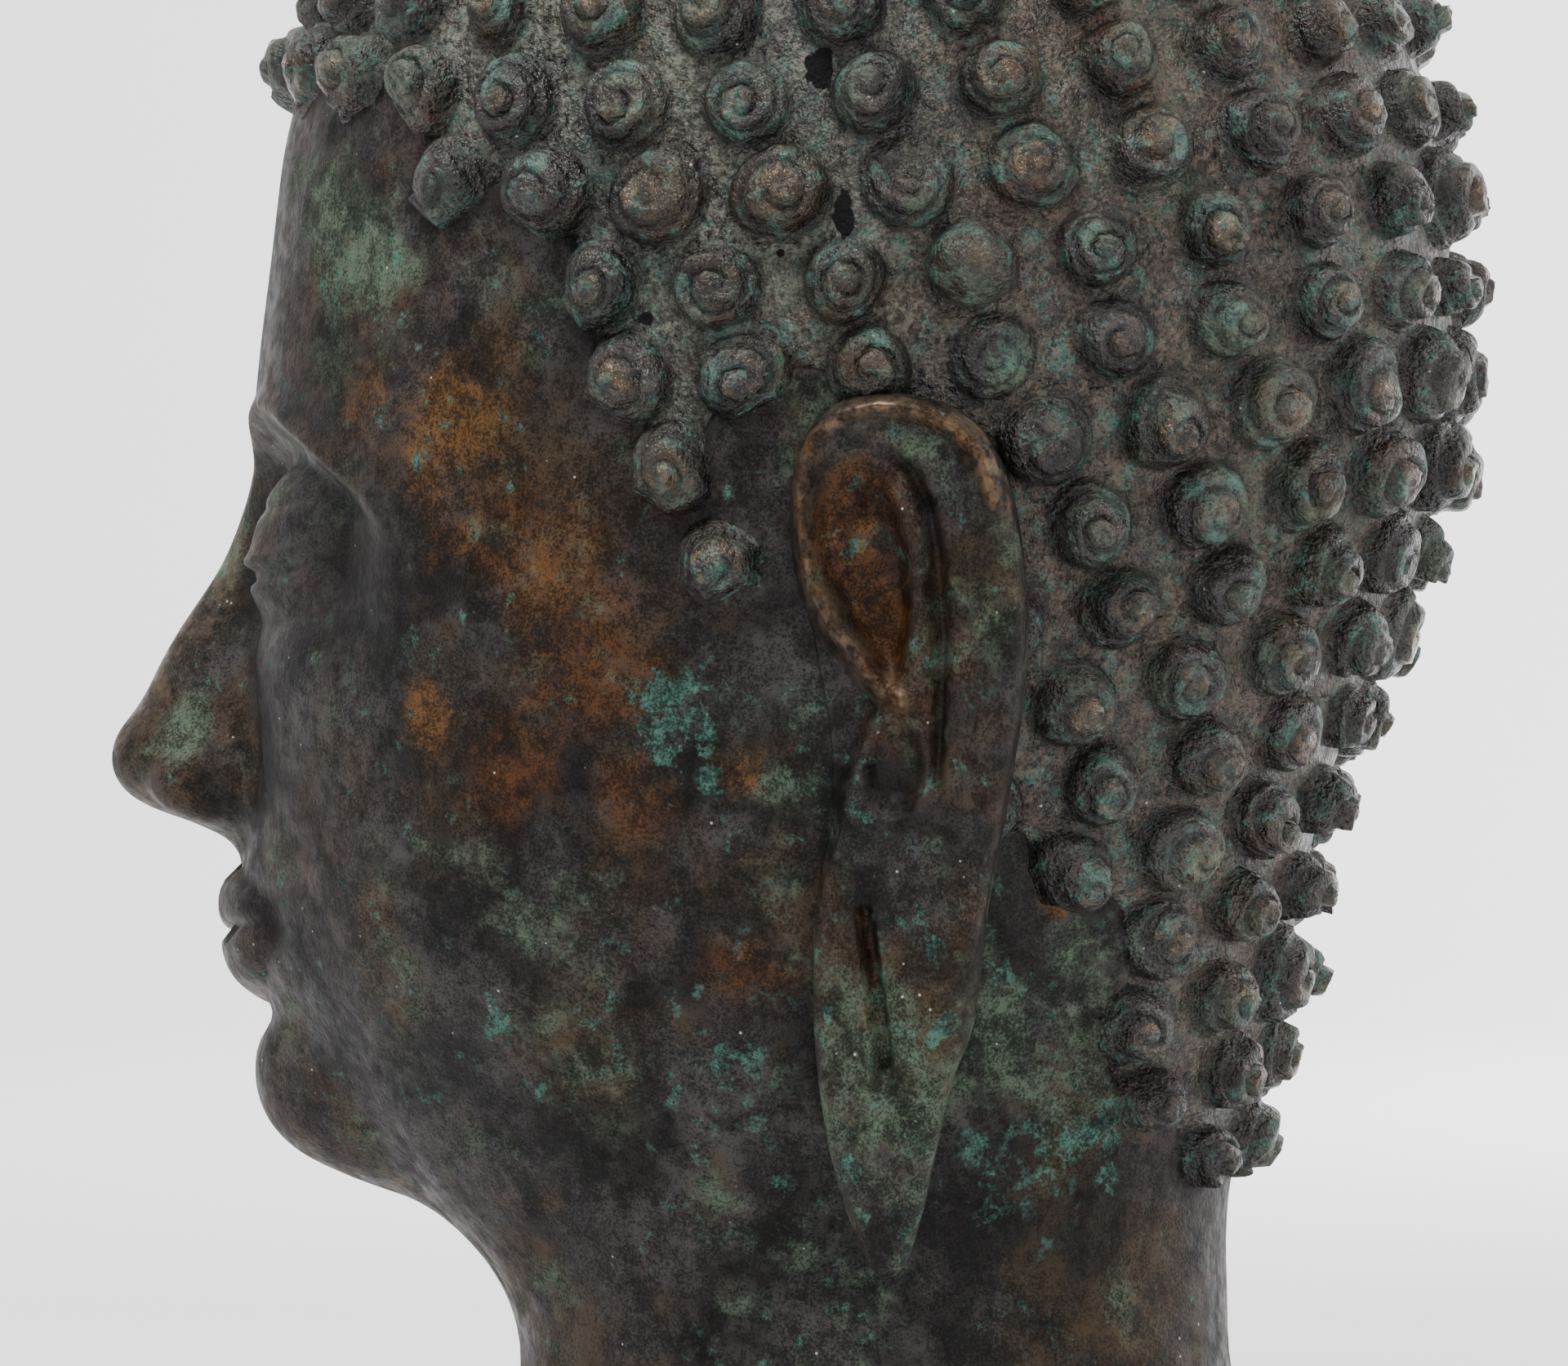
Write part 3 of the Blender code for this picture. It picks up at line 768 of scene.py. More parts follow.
@dataclass
class Sheet:
    """A sheet in the making: its points, how high each one is, how much painted shade each carries, and its
    faces.
    """

    points: list[Array] = field(default_factory=list)
    rise: list[float] = field(default_factory=list)
    painted_shade: list[float] = field(default_factory=list)
    faces: list[tuple[int, ...]] = field(default_factory=list)

    def add(self, point: Array, rise: float = 0.0, painted_shade: float = 0.0) -> int:
        """Add a point and return its number."""
        self.points.append(point)
        self.rise.append(rise)
        self.painted_shade.append(painted_shade)
        return len(self.points) - 1

    def bridge(self, outer: list[int], inner: list[int]) -> None:
        """Join two rings of points, the inner one with as many points or about half."""
        count = len(outer)
        if len(inner) == count:
            for i, corner in enumerate(outer):
                self.faces.append((corner, outer[(i + 1) % count], inner[(i + 1) % count], inner[i]))
            return
        for i, corner in enumerate(inner):
            start, following = 2 * i, inner[(i + 1) % len(inner)]
            if start + 1 < count:
                self.faces.append((outer[start], outer[start + 1], corner))
                self.faces.append((outer[start + 1], outer[(start + 2) % count], following, corner))
            else:
                self.faces.append((outer[start], outer[0], following, corner))


@dataclass
class Curl:
    """One curl: its kind, how far round its coil each spoke lies, the coil's width and its depth."""

    kind: CurlKind
    wind: Array
    turn_width: float
    depth: float

    step_height = 0.12
    tread_share = 0.78
    groove_width = 0.14

    def coil(self, share: float) -> Array:
        """Return how far across the coil's turn each spoke is at one share of the radius."""
        return (share / self.turn_width + self.wind) % 1.0

    def fade(self, share: float) -> float:
        """Return how plain the coil shows: 0 at the curl's foot and at its tip."""
        return smooth(0.99, 0.86, share) * smooth(0.08, 0.34, share)

    def groove(self, share: float) -> Array:
        """Return 1 in the groove between the coil's turns and 0 away from it."""
        coil = self.coil(share)
        return bell(np.minimum(coil, 1.0 - coil), self.groove_width) * self.fade(share)

    def painted_shade(self, share: float) -> Array:
        """Return the painted shade round the curl's foot and in its groove; a blob curl is darkened a
        little all over.
        """
        foot = 0.10 if share > 1 else 0.6 * smooth(0.82, 0.98, share)
        groove = 0.35 if self.kind is CurlKind.BLOB else 0.8 * self.groove(share)
        return np.maximum(np.full(len(self.wind), foot), groove)

    def profile(self, share: float) -> Array:
        """Work out the curl's height all the way round, as a share of its top.

        Args:
            share: How far out from the middle, 1 at the boss's foot.

        Returns:
            One height for each spoke.
        """
        if share > 1:
            return np.zeros(len(self.wind))
        if self.kind is CurlKind.BLOB:
            ripple = 0.04 * np.sin(9 * self.wind * 6.28) * share
            return 1.12 * max(0.0, 1.0 - share**2.4) ** 0.5 + ripple
        coil = self.coil(share)
        riser = (1.0 - coil) / (1.0 - self.tread_share)
        tread = np.where(coil < self.tread_share, coil / self.tread_share, riser) - 0.5
        steps = self.depth * self.step_height * (self.fade(share) * tread - self.groove(share))
        height = 0.97 * max(0.0, 1.0 - share**2.2) ** 0.62 + steps
        if self.kind is CurlKind.FLAT:
            height *= 0.55
        if self.kind is CurlKind.TORN:
            height *= 0.62 + 0.38 * np.sin(2 * math.pi * self.wind)
        return np.maximum(height, 0.0)


@dataclass
class HairCap:
    """The cap of curls, one sculpted sheet: each curl is a wound snail shell on rough ground."""

    lattice: CurlLattice
    curl_height: float = 0.0062 / FINGER
    boss_radius: float = 0.63
    behind_ear_height: float = 0.62
    ground_lift: float = 0.04
    hem_lift: float = -0.22
    hem_pull: float = 0.10
    edge_steps: int = 3
    seed: int = 7
    first_curl_seed: int = 1000
    height_spread: Range = (0.9, 1.1)
    radius_spread: Range = (0.93, 1.05)
    turn_widths: Range = (0.40, 0.52)
    depths: Range = (0.75, 1.25)
    lean: float = 0.045
    droop: float = 0.03
    roughness: tuple[Spot, ...] = ((0.034, 0.33, 3.0), (0.020, 0.15, 8.0))
    odd_curls: tuple[tuple[Flaw, CurlKind], ...] = (
        (Flaw(105.5, 9.91), CurlKind.BLOB), (Flaw(112.9, 8.96), CurlKind.FLAT),
        (Flaw(108.0, 11.4), CurlKind.TORN),
    )
    shares: tuple[float, ...] = (
        1.06, 1.0, 0.955, 0.90, 0.84, 0.78, 0.72, 0.66, 0.59, 0.52, 0.45, 0.38, 0.31, 0.24, 0.16, 0.08,
    )
    thinned_below: float = 0.56
    sheet: Sheet = field(default_factory=Sheet)
    border: dict[Edge, list[int]] = field(default_factory=dict)

    def build(self, placing: Placing) -> Piece:
        """Build the sheet curl by curl.

        Args:
            placing: Where the head stands.

        Returns:
            The finished piece.
        """
        rng = np.random.default_rng(self.seed)
        self._lay_borders()
        kinds = self._kinds()
        normals = CLAY.outward(self.lattice.centres)
        for index, corners in self.lattice.cells:
            height = self.curl_height * rng.uniform(*self.height_spread) * self._squash(index)
            self._add_curl(index, corners, normals[index], height, kinds.get(index, CurlKind.SNAIL))
        points = np.array(self.sheet.points)
        rise = np.array(self.sheet.rise)
        points += unit(points - HEART) * lump_layers(points, self.roughness)[:, None]
        mesh = bpy.data.meshes.new("hair_curls")
        mesh.from_pydata(placing.metres(points).tolist(), [], self.sheet.faces)
        piece = bpy.data.objects.new("hair_curls", mesh)
        bpy.context.scene.collection.objects.link(piece)
        finish_mesh(piece, placing.metres(points))
        store(piece, "rise", rise)
        store(piece, "wear", smooth(0.70, 0.95, rise) * smooth(-0.5, 0.3, lumps(points, 0.9, 21.0)))
        # The painted shade of the curls' feet and grooves is stored with the blooms.
        store_blooms(piece, points, {
            Bloom.GREEN: 0.50, Bloom.TURQUOISE: 0.50, Bloom.RUSSET: 0.30,
            Bloom.PAINTED_SHADE: np.array(self.sheet.painted_shade),
        })
        return piece

    def _squash(self, index: int) -> float:
        """Return the share of its height that a curl keeps: less in the gap behind the ear."""
        centre = self.lattice.centres[index]
        low, high = self.lattice.behind_ear
        behind = low < turn_of(centre[None, :])[0] < high and centre[2] < self.lattice.ear_top
        return self.behind_ear_height if behind else 1.0

    def _kinds(self) -> dict[int, CurlKind]:
        """Return which curls came out wrong."""
        hairy = np.flatnonzero(self.lattice.hairy)
        places = self.lattice.centres[hairy]
        return {
            int(hairy[np.argmin(np.linalg.norm(places - flaw.place(), axis=1))]): kind
            for flaw, kind in self.odd_curls
        }

    def _lay_borders(self) -> None:
        """Place the corners and edges that neighbouring cells share, sunk where the hair ends."""
        uses: dict[Edge, int] = {}
        for _, corners in self.lattice.cells:
            for first, second in zip(corners, corners[1:] + corners[:1]):
                edge = (min(first, second), max(first, second))
                uses[edge] = uses.get(edge, 0) + 1
        # An edge that only one cell uses lies where the hair ends.
        outer = {edge for edge, count in uses.items() if count == 1}
        outer_corners = {corner for edge in outer for corner in edge}
        keys = sorted({corner for edge in uses for corner in edge})
        middles = np.array([self.lattice.centres[list(key)].mean(axis=0) for key in keys])
        ground = CLAY.surface(HEART, unit(middles - HEART))
        lift = np.array([self.hem_lift if key in outer_corners else self.ground_lift for key in keys])
        ground = ground + CLAY.outward(ground) * lift[:, None]
        place = dict(zip(keys, ground))
        number = {key: self.sheet.add(place[key]) for key in keys}
        for edge in sorted(uses):
            first, second = edge
            chain = [number[first]]
            for step in range(1, self.edge_steps):
                share = step / self.edge_steps
                point = place[first] * (1 - share) + place[second] * share
                if edge in outer:
                    point = point + unit(HEART - point) * self.hem_pull
                chain.append(self.sheet.add(point))
            chain.append(number[second])
            self.border[edge] = chain

    def _ring_of(self, corners: list[Corner]) -> list[int]:
        """Return the numbers of the points all round a cell."""
        ring: list[int] = []
        for first, second in zip(corners, corners[1:] + corners[:1]):
            chain = self.border[(min(first, second), max(first, second))]
            ring += (chain if first < second else chain[::-1])[:-1]
        return ring

    def _add_curl(self, index: int, corners: list[Corner], normal: Array, height: float,
                  kind: CurlKind) -> None:
        """Raise one curl inside its cell.

        Args:
            index: Which place it stands on.
            corners: Its cell's corners.
            normal: Which way it points.
            height: How high it is, in fingers.
            kind: How it came out of the mould.
        """
        rng = np.random.default_rng(self.first_curl_seed + index)
        sheet = self.sheet
        previous = self._ring_of(corners)
        centre = self.lattice.centres[index]
        spokes = np.array([sheet.points[number] for number in previous]) - centre
        reach = np.linalg.norm(spokes, axis=1)
        east = unit(spokes[0] - normal * (spokes[0] @ normal))
        angle = np.arctan2(spokes @ np.cross(normal, east), spokes @ east)
        radius = min(self.boss_radius * rng.uniform(*self.radius_spread), 0.98 * reach.min())
        phases = rng.uniform(0, 2 * math.pi, 3)
        wobble = 1 + 0.045 * np.sin(2 * angle + phases[0]) + 0.03 * np.sin(3 * angle + phases[1])
        if kind is CurlKind.BLOB:
            radius = 1.08 * reach.min()
        boss = np.minimum(radius * wobble, 0.97 * reach)
        wind = ((angle * rng.choice((-1, 1)) + phases[2]) / (2 * math.pi)) % 1.0
        curl = Curl(kind, wind, rng.uniform(*self.turn_widths), rng.uniform(*self.depths))
        lean = rng.normal(0, self.lean, 3) - np.array([0.0, 0.0, self.droop])
        full = len(reach)
        for share in self.shares:
            # Towards the tip every second spoke is enough.
            if share < self.thinned_below and len(reach) == full:
                spokes, reach, boss, curl.wind = spokes[::2], reach[::2], boss[::2], curl.wind[::2]
            raised = curl.profile(share)
            out = boss + (reach - boss) * 0.40 if share > 1 else boss * share
            points = centre + spokes * (out / reach)[:, None] + normal * (raised * height)[:, None]
            points += lean * (raised * smooth(1.0, 0.4, share))[:, None]
            rise = np.clip(raised * (0.75 if kind is CurlKind.BLOB else 1.0), 0, 1)
            current = [sheet.add(*item) for item in zip(points, rise.tolist(), curl.painted_shade(share).tolist())]
            sheet.bridge(previous, current)
            previous = current
        middle = np.array([sheet.points[number] for number in previous]).mean(axis=0)
        top = sheet.add(middle + normal * 0.012, 1.0)
        for first, second in zip(previous, previous[1:] + previous[:1]):
            sheet.faces.append((first, second, top))


@dataclass
class Ear:
    """The long ears: a curled rim, a hollow with a ridge in it, and a slit lobe that tapers to a point."""

    length: float = 0.113 / FINGER
    thickness: float = 0.0085 / FINGER
    top: float = 8.6
    out_top: float = 5.85
    out_tip: float = 4.75
    root: float = 0.009 / FINGER
    root_lift: float = 0.15
    rounding: float = 0.24
    face_depth: float = 0.17
    hollow_depth: float = 0.24
    unevenness: tuple[Spot, ...] = ((0.022, 0.75, 5.0), (0.010, 0.25, 15.0))
    segments: int = 43
    rings: int = 58
    outline: tuple[Flat, ...] = (
        (0.218, 0.000), (0.285, 0.023), (0.328, 0.080), (0.350, 0.190), (0.350, 0.310),
        (0.330, 0.440), (0.300, 0.590), (0.285, 0.705), (0.255, 0.790), (0.236, 0.870), (0.218, 0.945),
        (0.199, 0.990), (0.174, 1.000), (0.149, 0.957), (0.122, 0.871), (0.105, 0.750), (0.104, 0.628),
        (0.114, 0.500), (0.120, 0.400), (0.106, 0.290), (0.090, 0.180), (0.092, 0.090), (0.115, 0.036),
        (0.155, 0.006),
    )
    rim_path: tuple[Flat, ...] = (
        (2.01, 5.34), (1.64, 5.70), (1.34, 6.09), (1.13, 6.48), (1.00, 6.92), (0.95, 7.34), (0.99, 7.78),
        (1.14, 8.14), (1.42, 8.38), (1.82, 8.47), (2.24, 8.42), (2.62, 8.22), (2.90, 7.92), (3.06, 7.45),
    )
    band_path: tuple[Flat, ...] = (
        (3.06, 7.45), (3.12, 6.72), (3.13, 5.86), (3.05, 4.99), (2.88, 4.13), (2.72, 3.26), (2.56, 2.40),
        (2.33, 1.60),
    )
    groove_path: tuple[Flat, ...] = (
        (1.86, 7.98), (2.10, 7.82), (2.30, 7.45), (2.40, 6.81), (2.43, 6.03), (2.40, 5.34), (2.36, 4.60),
        (2.26, 4.00),
    )
    ridge_path: tuple[Flat, ...] = (
        (1.72, 7.46), (1.90, 7.52), (2.06, 7.25), (2.16, 6.65), (2.20, 5.95), (2.16, 5.45),
    )
    bowl_lip_path: tuple[Flat, ...] = (
        (1.40, 4.28), (1.63, 4.10), (1.90, 4.04), (2.14, 4.12), (2.28, 4.34),
    )
    slit_path: tuple[Flat, ...] = (
        (1.56, 3.12), (1.61, 2.7), (1.67, 2.2), (1.74, 1.6), (1.76, 1.45),
    )
    cheek_line: tuple[Flat, ...] = (
        (3.1, 1.00), (3.5, 1.10), (3.9, 1.28), (4.2, 1.32), (4.6, 1.45), (5.0, 1.66), (5.3, 1.80),
        (5.7, 1.46), (6.1, 1.18), (6.5, 0.98),
    )
    section: tuple[tuple[float, ...], ...] = (
        (0.0, 0.0, 1.0, 0.0, 0.0), (0.64, 1.0, 1.0, 0.0, 0.0), (0.70, 1.0, 0.98, 1.0, 0.0),
        (0.79, 1.0, 0.74, 1.0, 1.0), (0.87, 0.0, 0.74, 1.0, 1.0), (0.95, 0.0, 0.98, 1.0, 0.0),
        (1.0, 0.0, 1.0, 0.0, 0.0),
    )
    outer_turn: float = 0.64
    face_rise: float = 0.85
    back_rise: float = 0.3

    def build(self, placing: Placing) -> list[Piece]:
        """Shape the left ear from a ball with its poles at the ear's top and tip, and mirror it.

        Args:
            placing: Where the head stands.

        Returns:
            The left and the right ear.
        """
        left = ball("left_ear", self.segments, self.rings)
        directions = directions_of(left)
        turn = np.arctan2(directions[:, 0], -directions[:, 1]) / (2 * math.pi) % 1.0
        drop = np.clip((1.0 - directions[:, 2]) / 2, 0.0, 1.0)
        points, places, outer = self._shape(turn, drop)
        deselect()
        left.select_set(True)
        bpy.ops.object.duplicate()
        right = bpy.context.selected_objects[0]
        right.name = "right_ear"
        right.data.name = "right_ear"
        for piece, side in ((left, 1.0), (right, -1.0)):
            placed = points * np.array([side, 1.0, 1.0])
            finish_mesh(piece, placing.metres(placed))
            self._dress(piece, placed, places, outer)
        return [left, right]

    def _dress(self, piece: Piece, points: Array, places: Array, outer: Array) -> None:
        """Store what the material reads: a worn gold rim, a russet hollow, a green lobe, and painted shade
        along the groove and the slit and over the ear's back and hidden sides.
        """
        rim, _ = path_distance(places, self.rim_path)
        groove, along = path_distance(places, self.groove_path)
        slit, _ = path_distance(places, self.slit_path)
        hollow = smooth(1.1, 0.7, self._dish(places)) * outer
        off_rim = 1 - 0.75 * bell(rim, 0.16) - 0.5 * hollow
        store(piece, "rise", np.where(outer, self.face_rise, self.back_rise))
        # Painted shade: darker along the groove and the slit of the outer face, and over all of the back
        # and hidden sides.
        painted_shade = np.maximum(0.2 * bell(slit, 0.10), 0.5 * bell(groove, 0.11) * smooth(1.0, 0.8, along))
        edge, _ = path_distance(places, self._closed_outline())
        back = bell(edge, 0.14) * smooth(2.6, 2.9, places[:, 0]) * smooth(6.2, 6.8, places[:, 1])
        wear = np.maximum(0.8 * bell(rim, 0.12), back * smooth(-0.3, 0.3, lumps(points, 0.35, 31.0)))
        store(piece, "wear", np.where(outer, wear, 0.0))
        lobe = smooth(3.9, 2.4, places[:, 1])
        store_blooms(piece, points, {
            Bloom.RUSSET: np.maximum(0.34, np.maximum(0.9 * hollow, 0.7 * bell(slit, 0.16))),
            Bloom.TURQUOISE: 0.30 + 0.10 * lobe,
            Bloom.GREEN: np.maximum(0.44, 0.58 * lobe) * off_rim,
            Bloom.OCHRE: np.maximum(0.66 * bell(rim, 0.14) * outer, 0.28 * hollow),
            Bloom.PAINTED_SHADE: np.where(outer, painted_shade, 0.25),
        })

    def _edges(self, drop: Array) -> tuple[Array, Array]:
        """Return the depths of the front and back edges at drops from the top, as shares of the length."""
        curve = round_curve(self.outline, 1440)
        top, tip = int(np.argmin(curve[:, 1])), int(np.argmax(curve[:, 1]))
        curve = np.roll(curve, -top, axis=0)
        tip = (tip - top) % len(curve)
        back, front = curve[:tip + 1], np.vstack([curve[tip:], curve[:1]])[::-1]
        sides = []
        for part in (front, back):
            reach = np.maximum.accumulate(part[:, 1]) + np.arange(len(part)) * TINY
            reach = (reach - reach[0]) / (reach[-1] - reach[0])
            sides.append(np.interp(drop, reach, part[:, 0]))
        return sides[0], sides[1]

    def _shape(self, turn: Array, drop: Array) -> tuple[Array, Array, Array]:
        """Work out the ear's skin.

        Args:
            turn: How far round the ear's section each point lies, from the front edge over the outer face.
            drop: How far down from the top each lies, as a share of the length.

        Returns:
            The points, their flat places on the outer face, and which lie on that face.
        """
        front, back = self._edges(drop)
        # Round the section: the outer face, its back edge, the back face, the root and the front edge.
        turns, acrosses, narrows, sinks, insides = zip(*self.section)
        share = 0.5 - 0.5 * np.cos(math.pi * np.interp(turn, turns, acrosses))
        narrow = np.interp(turn, turns, narrows)
        sunk = np.interp(turn, turns, sinks)
        inside = np.interp(turn, turns, insides)
        middle = (front + back) / 2
        depth = (middle + (front + (back - front) * share - middle) * narrow) * self.length
        lift = (self.root_lift * inside + 0.012 * sunk) * smooth(0.6, 1.0, drop)
        height = self.top - (drop - lift) * self.length
        places = np.column_stack([depth, height])
        outer = turn <= self.outer_turn
        face = self.out_top + (self.out_tip - self.out_top) * drop
        rim = self._closed_outline()
        edge, _ = path_distance(places, np.vstack([rim, rim[:1]]))
        near = np.clip(1 - edge / self.rounding, 0, 1)
        round_off = self.rounding * (1 - np.sqrt(np.clip(1 - near**2, 0, 1)))
        level = CLAY.surface(np.column_stack([np.zeros_like(depth), depth, height]),
                             np.tile((1.0, 0.0, 0.0), (len(depth), 1)))[:, 0]
        relief = self._relief(places)
        skin = face - round_off + relief
        # In front of the cheek line the ear's face runs into the cheek.
        line = np.interp(height, *zip(*self.cheek_line))
        merge = smooth(line + 0.10, line - 0.22, depth)
        merge *= smooth(3.05, 3.45, height) * smooth(6.6, 6.25, height)
        on_cheek = level + 0.03 - 0.25 * smooth(0.10, 0.0, edge)
        skin = np.where(outer, skin * (1 - merge) + on_cheek * merge, skin)
        wall = (face - self.rounding + relief) * (1 - merge) + (level - 0.22) * merge
        wall = np.where(outer, skin, wall)
        behind = np.minimum(face - self.thickness * (0.6 + 0.4 * smooth(1.0, 0.94, drop)), wall)
        hidden = behind * (1 - inside) + (level - self.root) * inside
        out = np.where(outer, skin, wall * (1 - sunk) + hidden * sunk)
        return np.column_stack([out, depth, height]), places, outer

    def _closed_outline(self) -> Array:
        """Return the outline in fingers, as flat places."""
        curve = round_curve(self.outline, 120)
        return np.column_stack([curve[:, 0] * self.length, self.top - curve[:, 1] * self.length])

    @staticmethod
    def _dish(places: Array) -> Array:
        """Return how far each place is from the middle of the upper hollow, 1 at its edge."""
        centre = 1.56 + 0.30 * smooth(7.4, 5.6, places[:, 1])
        width = 0.20 + 0.42 * smooth(5.2, 7.2, places[:, 1])
        return np.hypot((places[:, 0] - centre) / width, (places[:, 1] - 6.75) / 1.45)

    def _relief(self, places: Array) -> Array:
        """Return how far the outer face stands out of the plane of its rim, in fingers."""
        relief = np.full(len(places), -self.face_depth)
        for path, height, width in (
            (self.rim_path, self.face_depth, 0.12), (self.band_path, 0.12, 0.30),
            (self.ridge_path, 0.13, 0.14), (self.bowl_lip_path, 0.10, 0.085),
        ):
            relief += height * bell(path_distance(places, path)[0], width)
        groove, along = path_distance(places, self.groove_path)
        slit, down = path_distance(places, self.slit_path)
        bowl = np.hypot((places[:, 0] - 1.90) / 0.36, (places[:, 1] - 4.70) / 0.55)
        relief -= self.hollow_depth * (smooth(1.08, 0.55, self._dish(places)) + smooth(1.15, 0.45, bowl))
        relief -= 0.20 * bell(groove, 0.085) * smooth(1.0, 0.8, along) * smooth(0.0, 0.12, along)
        relief += 0.05 * bell(np.hypot(places[:, 0] - 2.0, places[:, 1] - 5.3), 0.13)
        flat = np.column_stack([places, np.zeros(len(places))])
        width = 0.045 + 0.05 * arch(np.clip(down * 0.9 + 0.05, 0, 1))
        lip, cut = 0.05 * bell(slit - 0.14, 0.06), 0.17 * smooth(width + 0.05, width * 0.3, slit)
        relief += (lip - cut) * (1 + 0.45 * lumps(flat, 0.22, 27.0))
        relief -= 0.07 * bell(places[:, 0] - 1.75, 0.55) * bell(places[:, 1] - 2.3, 1.3)
        return relief + lump_layers(flat, self.unevenness)


@dataclass(frozen=True)
class Clouds:
    """Cloudy noise: clouds to the metre, detail, roughness, and the range stretched on to 0 to 1."""

    scale: float
    detail: float
    roughness: float
    low: float = 0.0
    high: float = 1.0


@dataclass(frozen=True)
class Dots:
    """Scattered round dots: how many to the metre, where their edge fades, and the fields they lie in."""

    per_metre: float
    edge: Range
    fields: Clouds


class NodeTree:
    """A short way to add nodes to a shader tree and join them up."""

    def __init__(self, tree: ShaderTree) -> None:
        """Keep the tree that nodes are added to."""
        self.tree = tree

    def add(self, kind: str, inputs: Optional[Mapping[str | int, object]] = None,
            **settings: object) -> bpy.types.Node:
        """Add a node.

        Args:
            kind: Blender's name for the node type.
            inputs: Values or output sockets for its inputs, by name or number.
            **settings: Properties of the node.

        Returns:
            The new node.
        """
        node = self.tree.nodes.new(kind)
        for name, value in settings.items():
            setattr(node, name, value)
        for key, value in (inputs or {}).items():
            if isinstance(value, Socket):
                self.tree.links.new(value, node.inputs[key])
            else:
                node.inputs[key].default_value = value
        return node

    def maths(self, operation: str, *values: Socket | float, clamp: bool = False) -> Socket:
        """Return the result of a maths node on values or sockets."""
        node = self.add("ShaderNodeMath", dict(enumerate(values)), operation=operation, use_clamp=clamp)
        return node.outputs[0]

    def vector_maths(self, operation: str, *values: Socket | Spot) -> Socket:
        """Return the result of a vector maths node: a number for a length, or else a vector."""
        node = self.add("ShaderNodeVectorMath", dict(enumerate(values)), operation=operation)
        return node.outputs["Value" if operation == "LENGTH" else "Vector"]

    def ramp(self, value: Socket, low: float, high: float, start: float = 0.0, end: float = 1.0) -> Socket:
        """Return a value stretched from the range low to high on to start to end, and held there."""
        node = self.add("ShaderNodeMapRange", {0: value, 1: low, 2: high, 3: start, 4: end},
                        interpolation_type="SMOOTHSTEP")
        return node.outputs[0]

    def mix(self, share: Socket | float, first: Socket | Colour, second: Socket | Colour) -> Socket:
        """Return a colour between first and second."""
        colours = {
            key: value if isinstance(value, Socket) else (*value, 1.0)
            for key, value in ((6, first), (7, second))
        }
        return self.add("ShaderNodeMix", {0: share, **colours}, data_type="RGBA").outputs[2]

    def noise(self, place: Socket, clouds: Clouds) -> Socket:
        """Return cloudy noise as it comes, its range not stretched."""
        return self.add("ShaderNodeTexNoise", {
            "Vector": place, "Scale": clouds.scale, "Detail": clouds.detail, "Roughness": clouds.roughness,
        }).outputs[0]

    def spots(self, place: Socket, clouds: Clouds, start: float = 0.0, end: float = 1.0) -> Socket:
        """Return cloudy noise with its range stretched on to start to end."""
        return self.ramp(self.noise(place, clouds), clouds.low, clouds.high, start, end)

    def dots(self, place: Socket, dots: Dots) -> Socket:
        """Return a mask of scattered dots."""
        cells = self.add("ShaderNodeTexVoronoi", {"Vector": place, "Scale": dots.per_metre})
        round_dots = self.ramp(cells.outputs["Distance"], *dots.edge)
        return self.maths("MULTIPLY", round_dots, self.spots(place, dots.fields))

    def attribute(self, name: str) -> Socket:
        """Return a number stored on the piece."""
        return self.add("ShaderNodeAttribute", attribute_name=name).outputs["Fac"]


class GroupTree(NodeTree):
    """The inside of a node group that works on a place and some numbers and gives numbers."""

    def __init__(self, name: str, numbers: Mapping[str, float], outputs: Iterable[str]) -> None:
        """Start the group.

        Args:
            name: The group's name.
            numbers: Each number input's name and default, besides the place.
            outputs: Names of the outputs.
        """
        super().__init__(bpy.data.node_groups.new(name, "ShaderNodeTree"))
        sockets = self.tree.interface
        sockets.new_socket("Place", in_out="INPUT", socket_type="NodeSocketVector")
        for label, default in numbers.items():
            sockets.new_socket(label, in_out="INPUT", socket_type="NodeSocketFloat").default_value = default
        for label in outputs:
            sockets.new_socket(label, in_out="OUTPUT", socket_type="NodeSocketFloat")
        self.given = self.add("NodeGroupInput").outputs
        self.results = self.add("NodeGroupOutput").inputs

    def give(self, **results: Socket) -> ShaderTree:
        """Join each result to the output of its name and return the finished group."""
        for label, socket in results.items():
            self.tree.links.new(socket, self.results[label])
        return self.tree


@dataclass(frozen=True)
class PatinaGroups:
    """The node groups that both finishes share."""

    blotches: ShaderTree
    dust: ShaderTree
    skin: ShaderTree


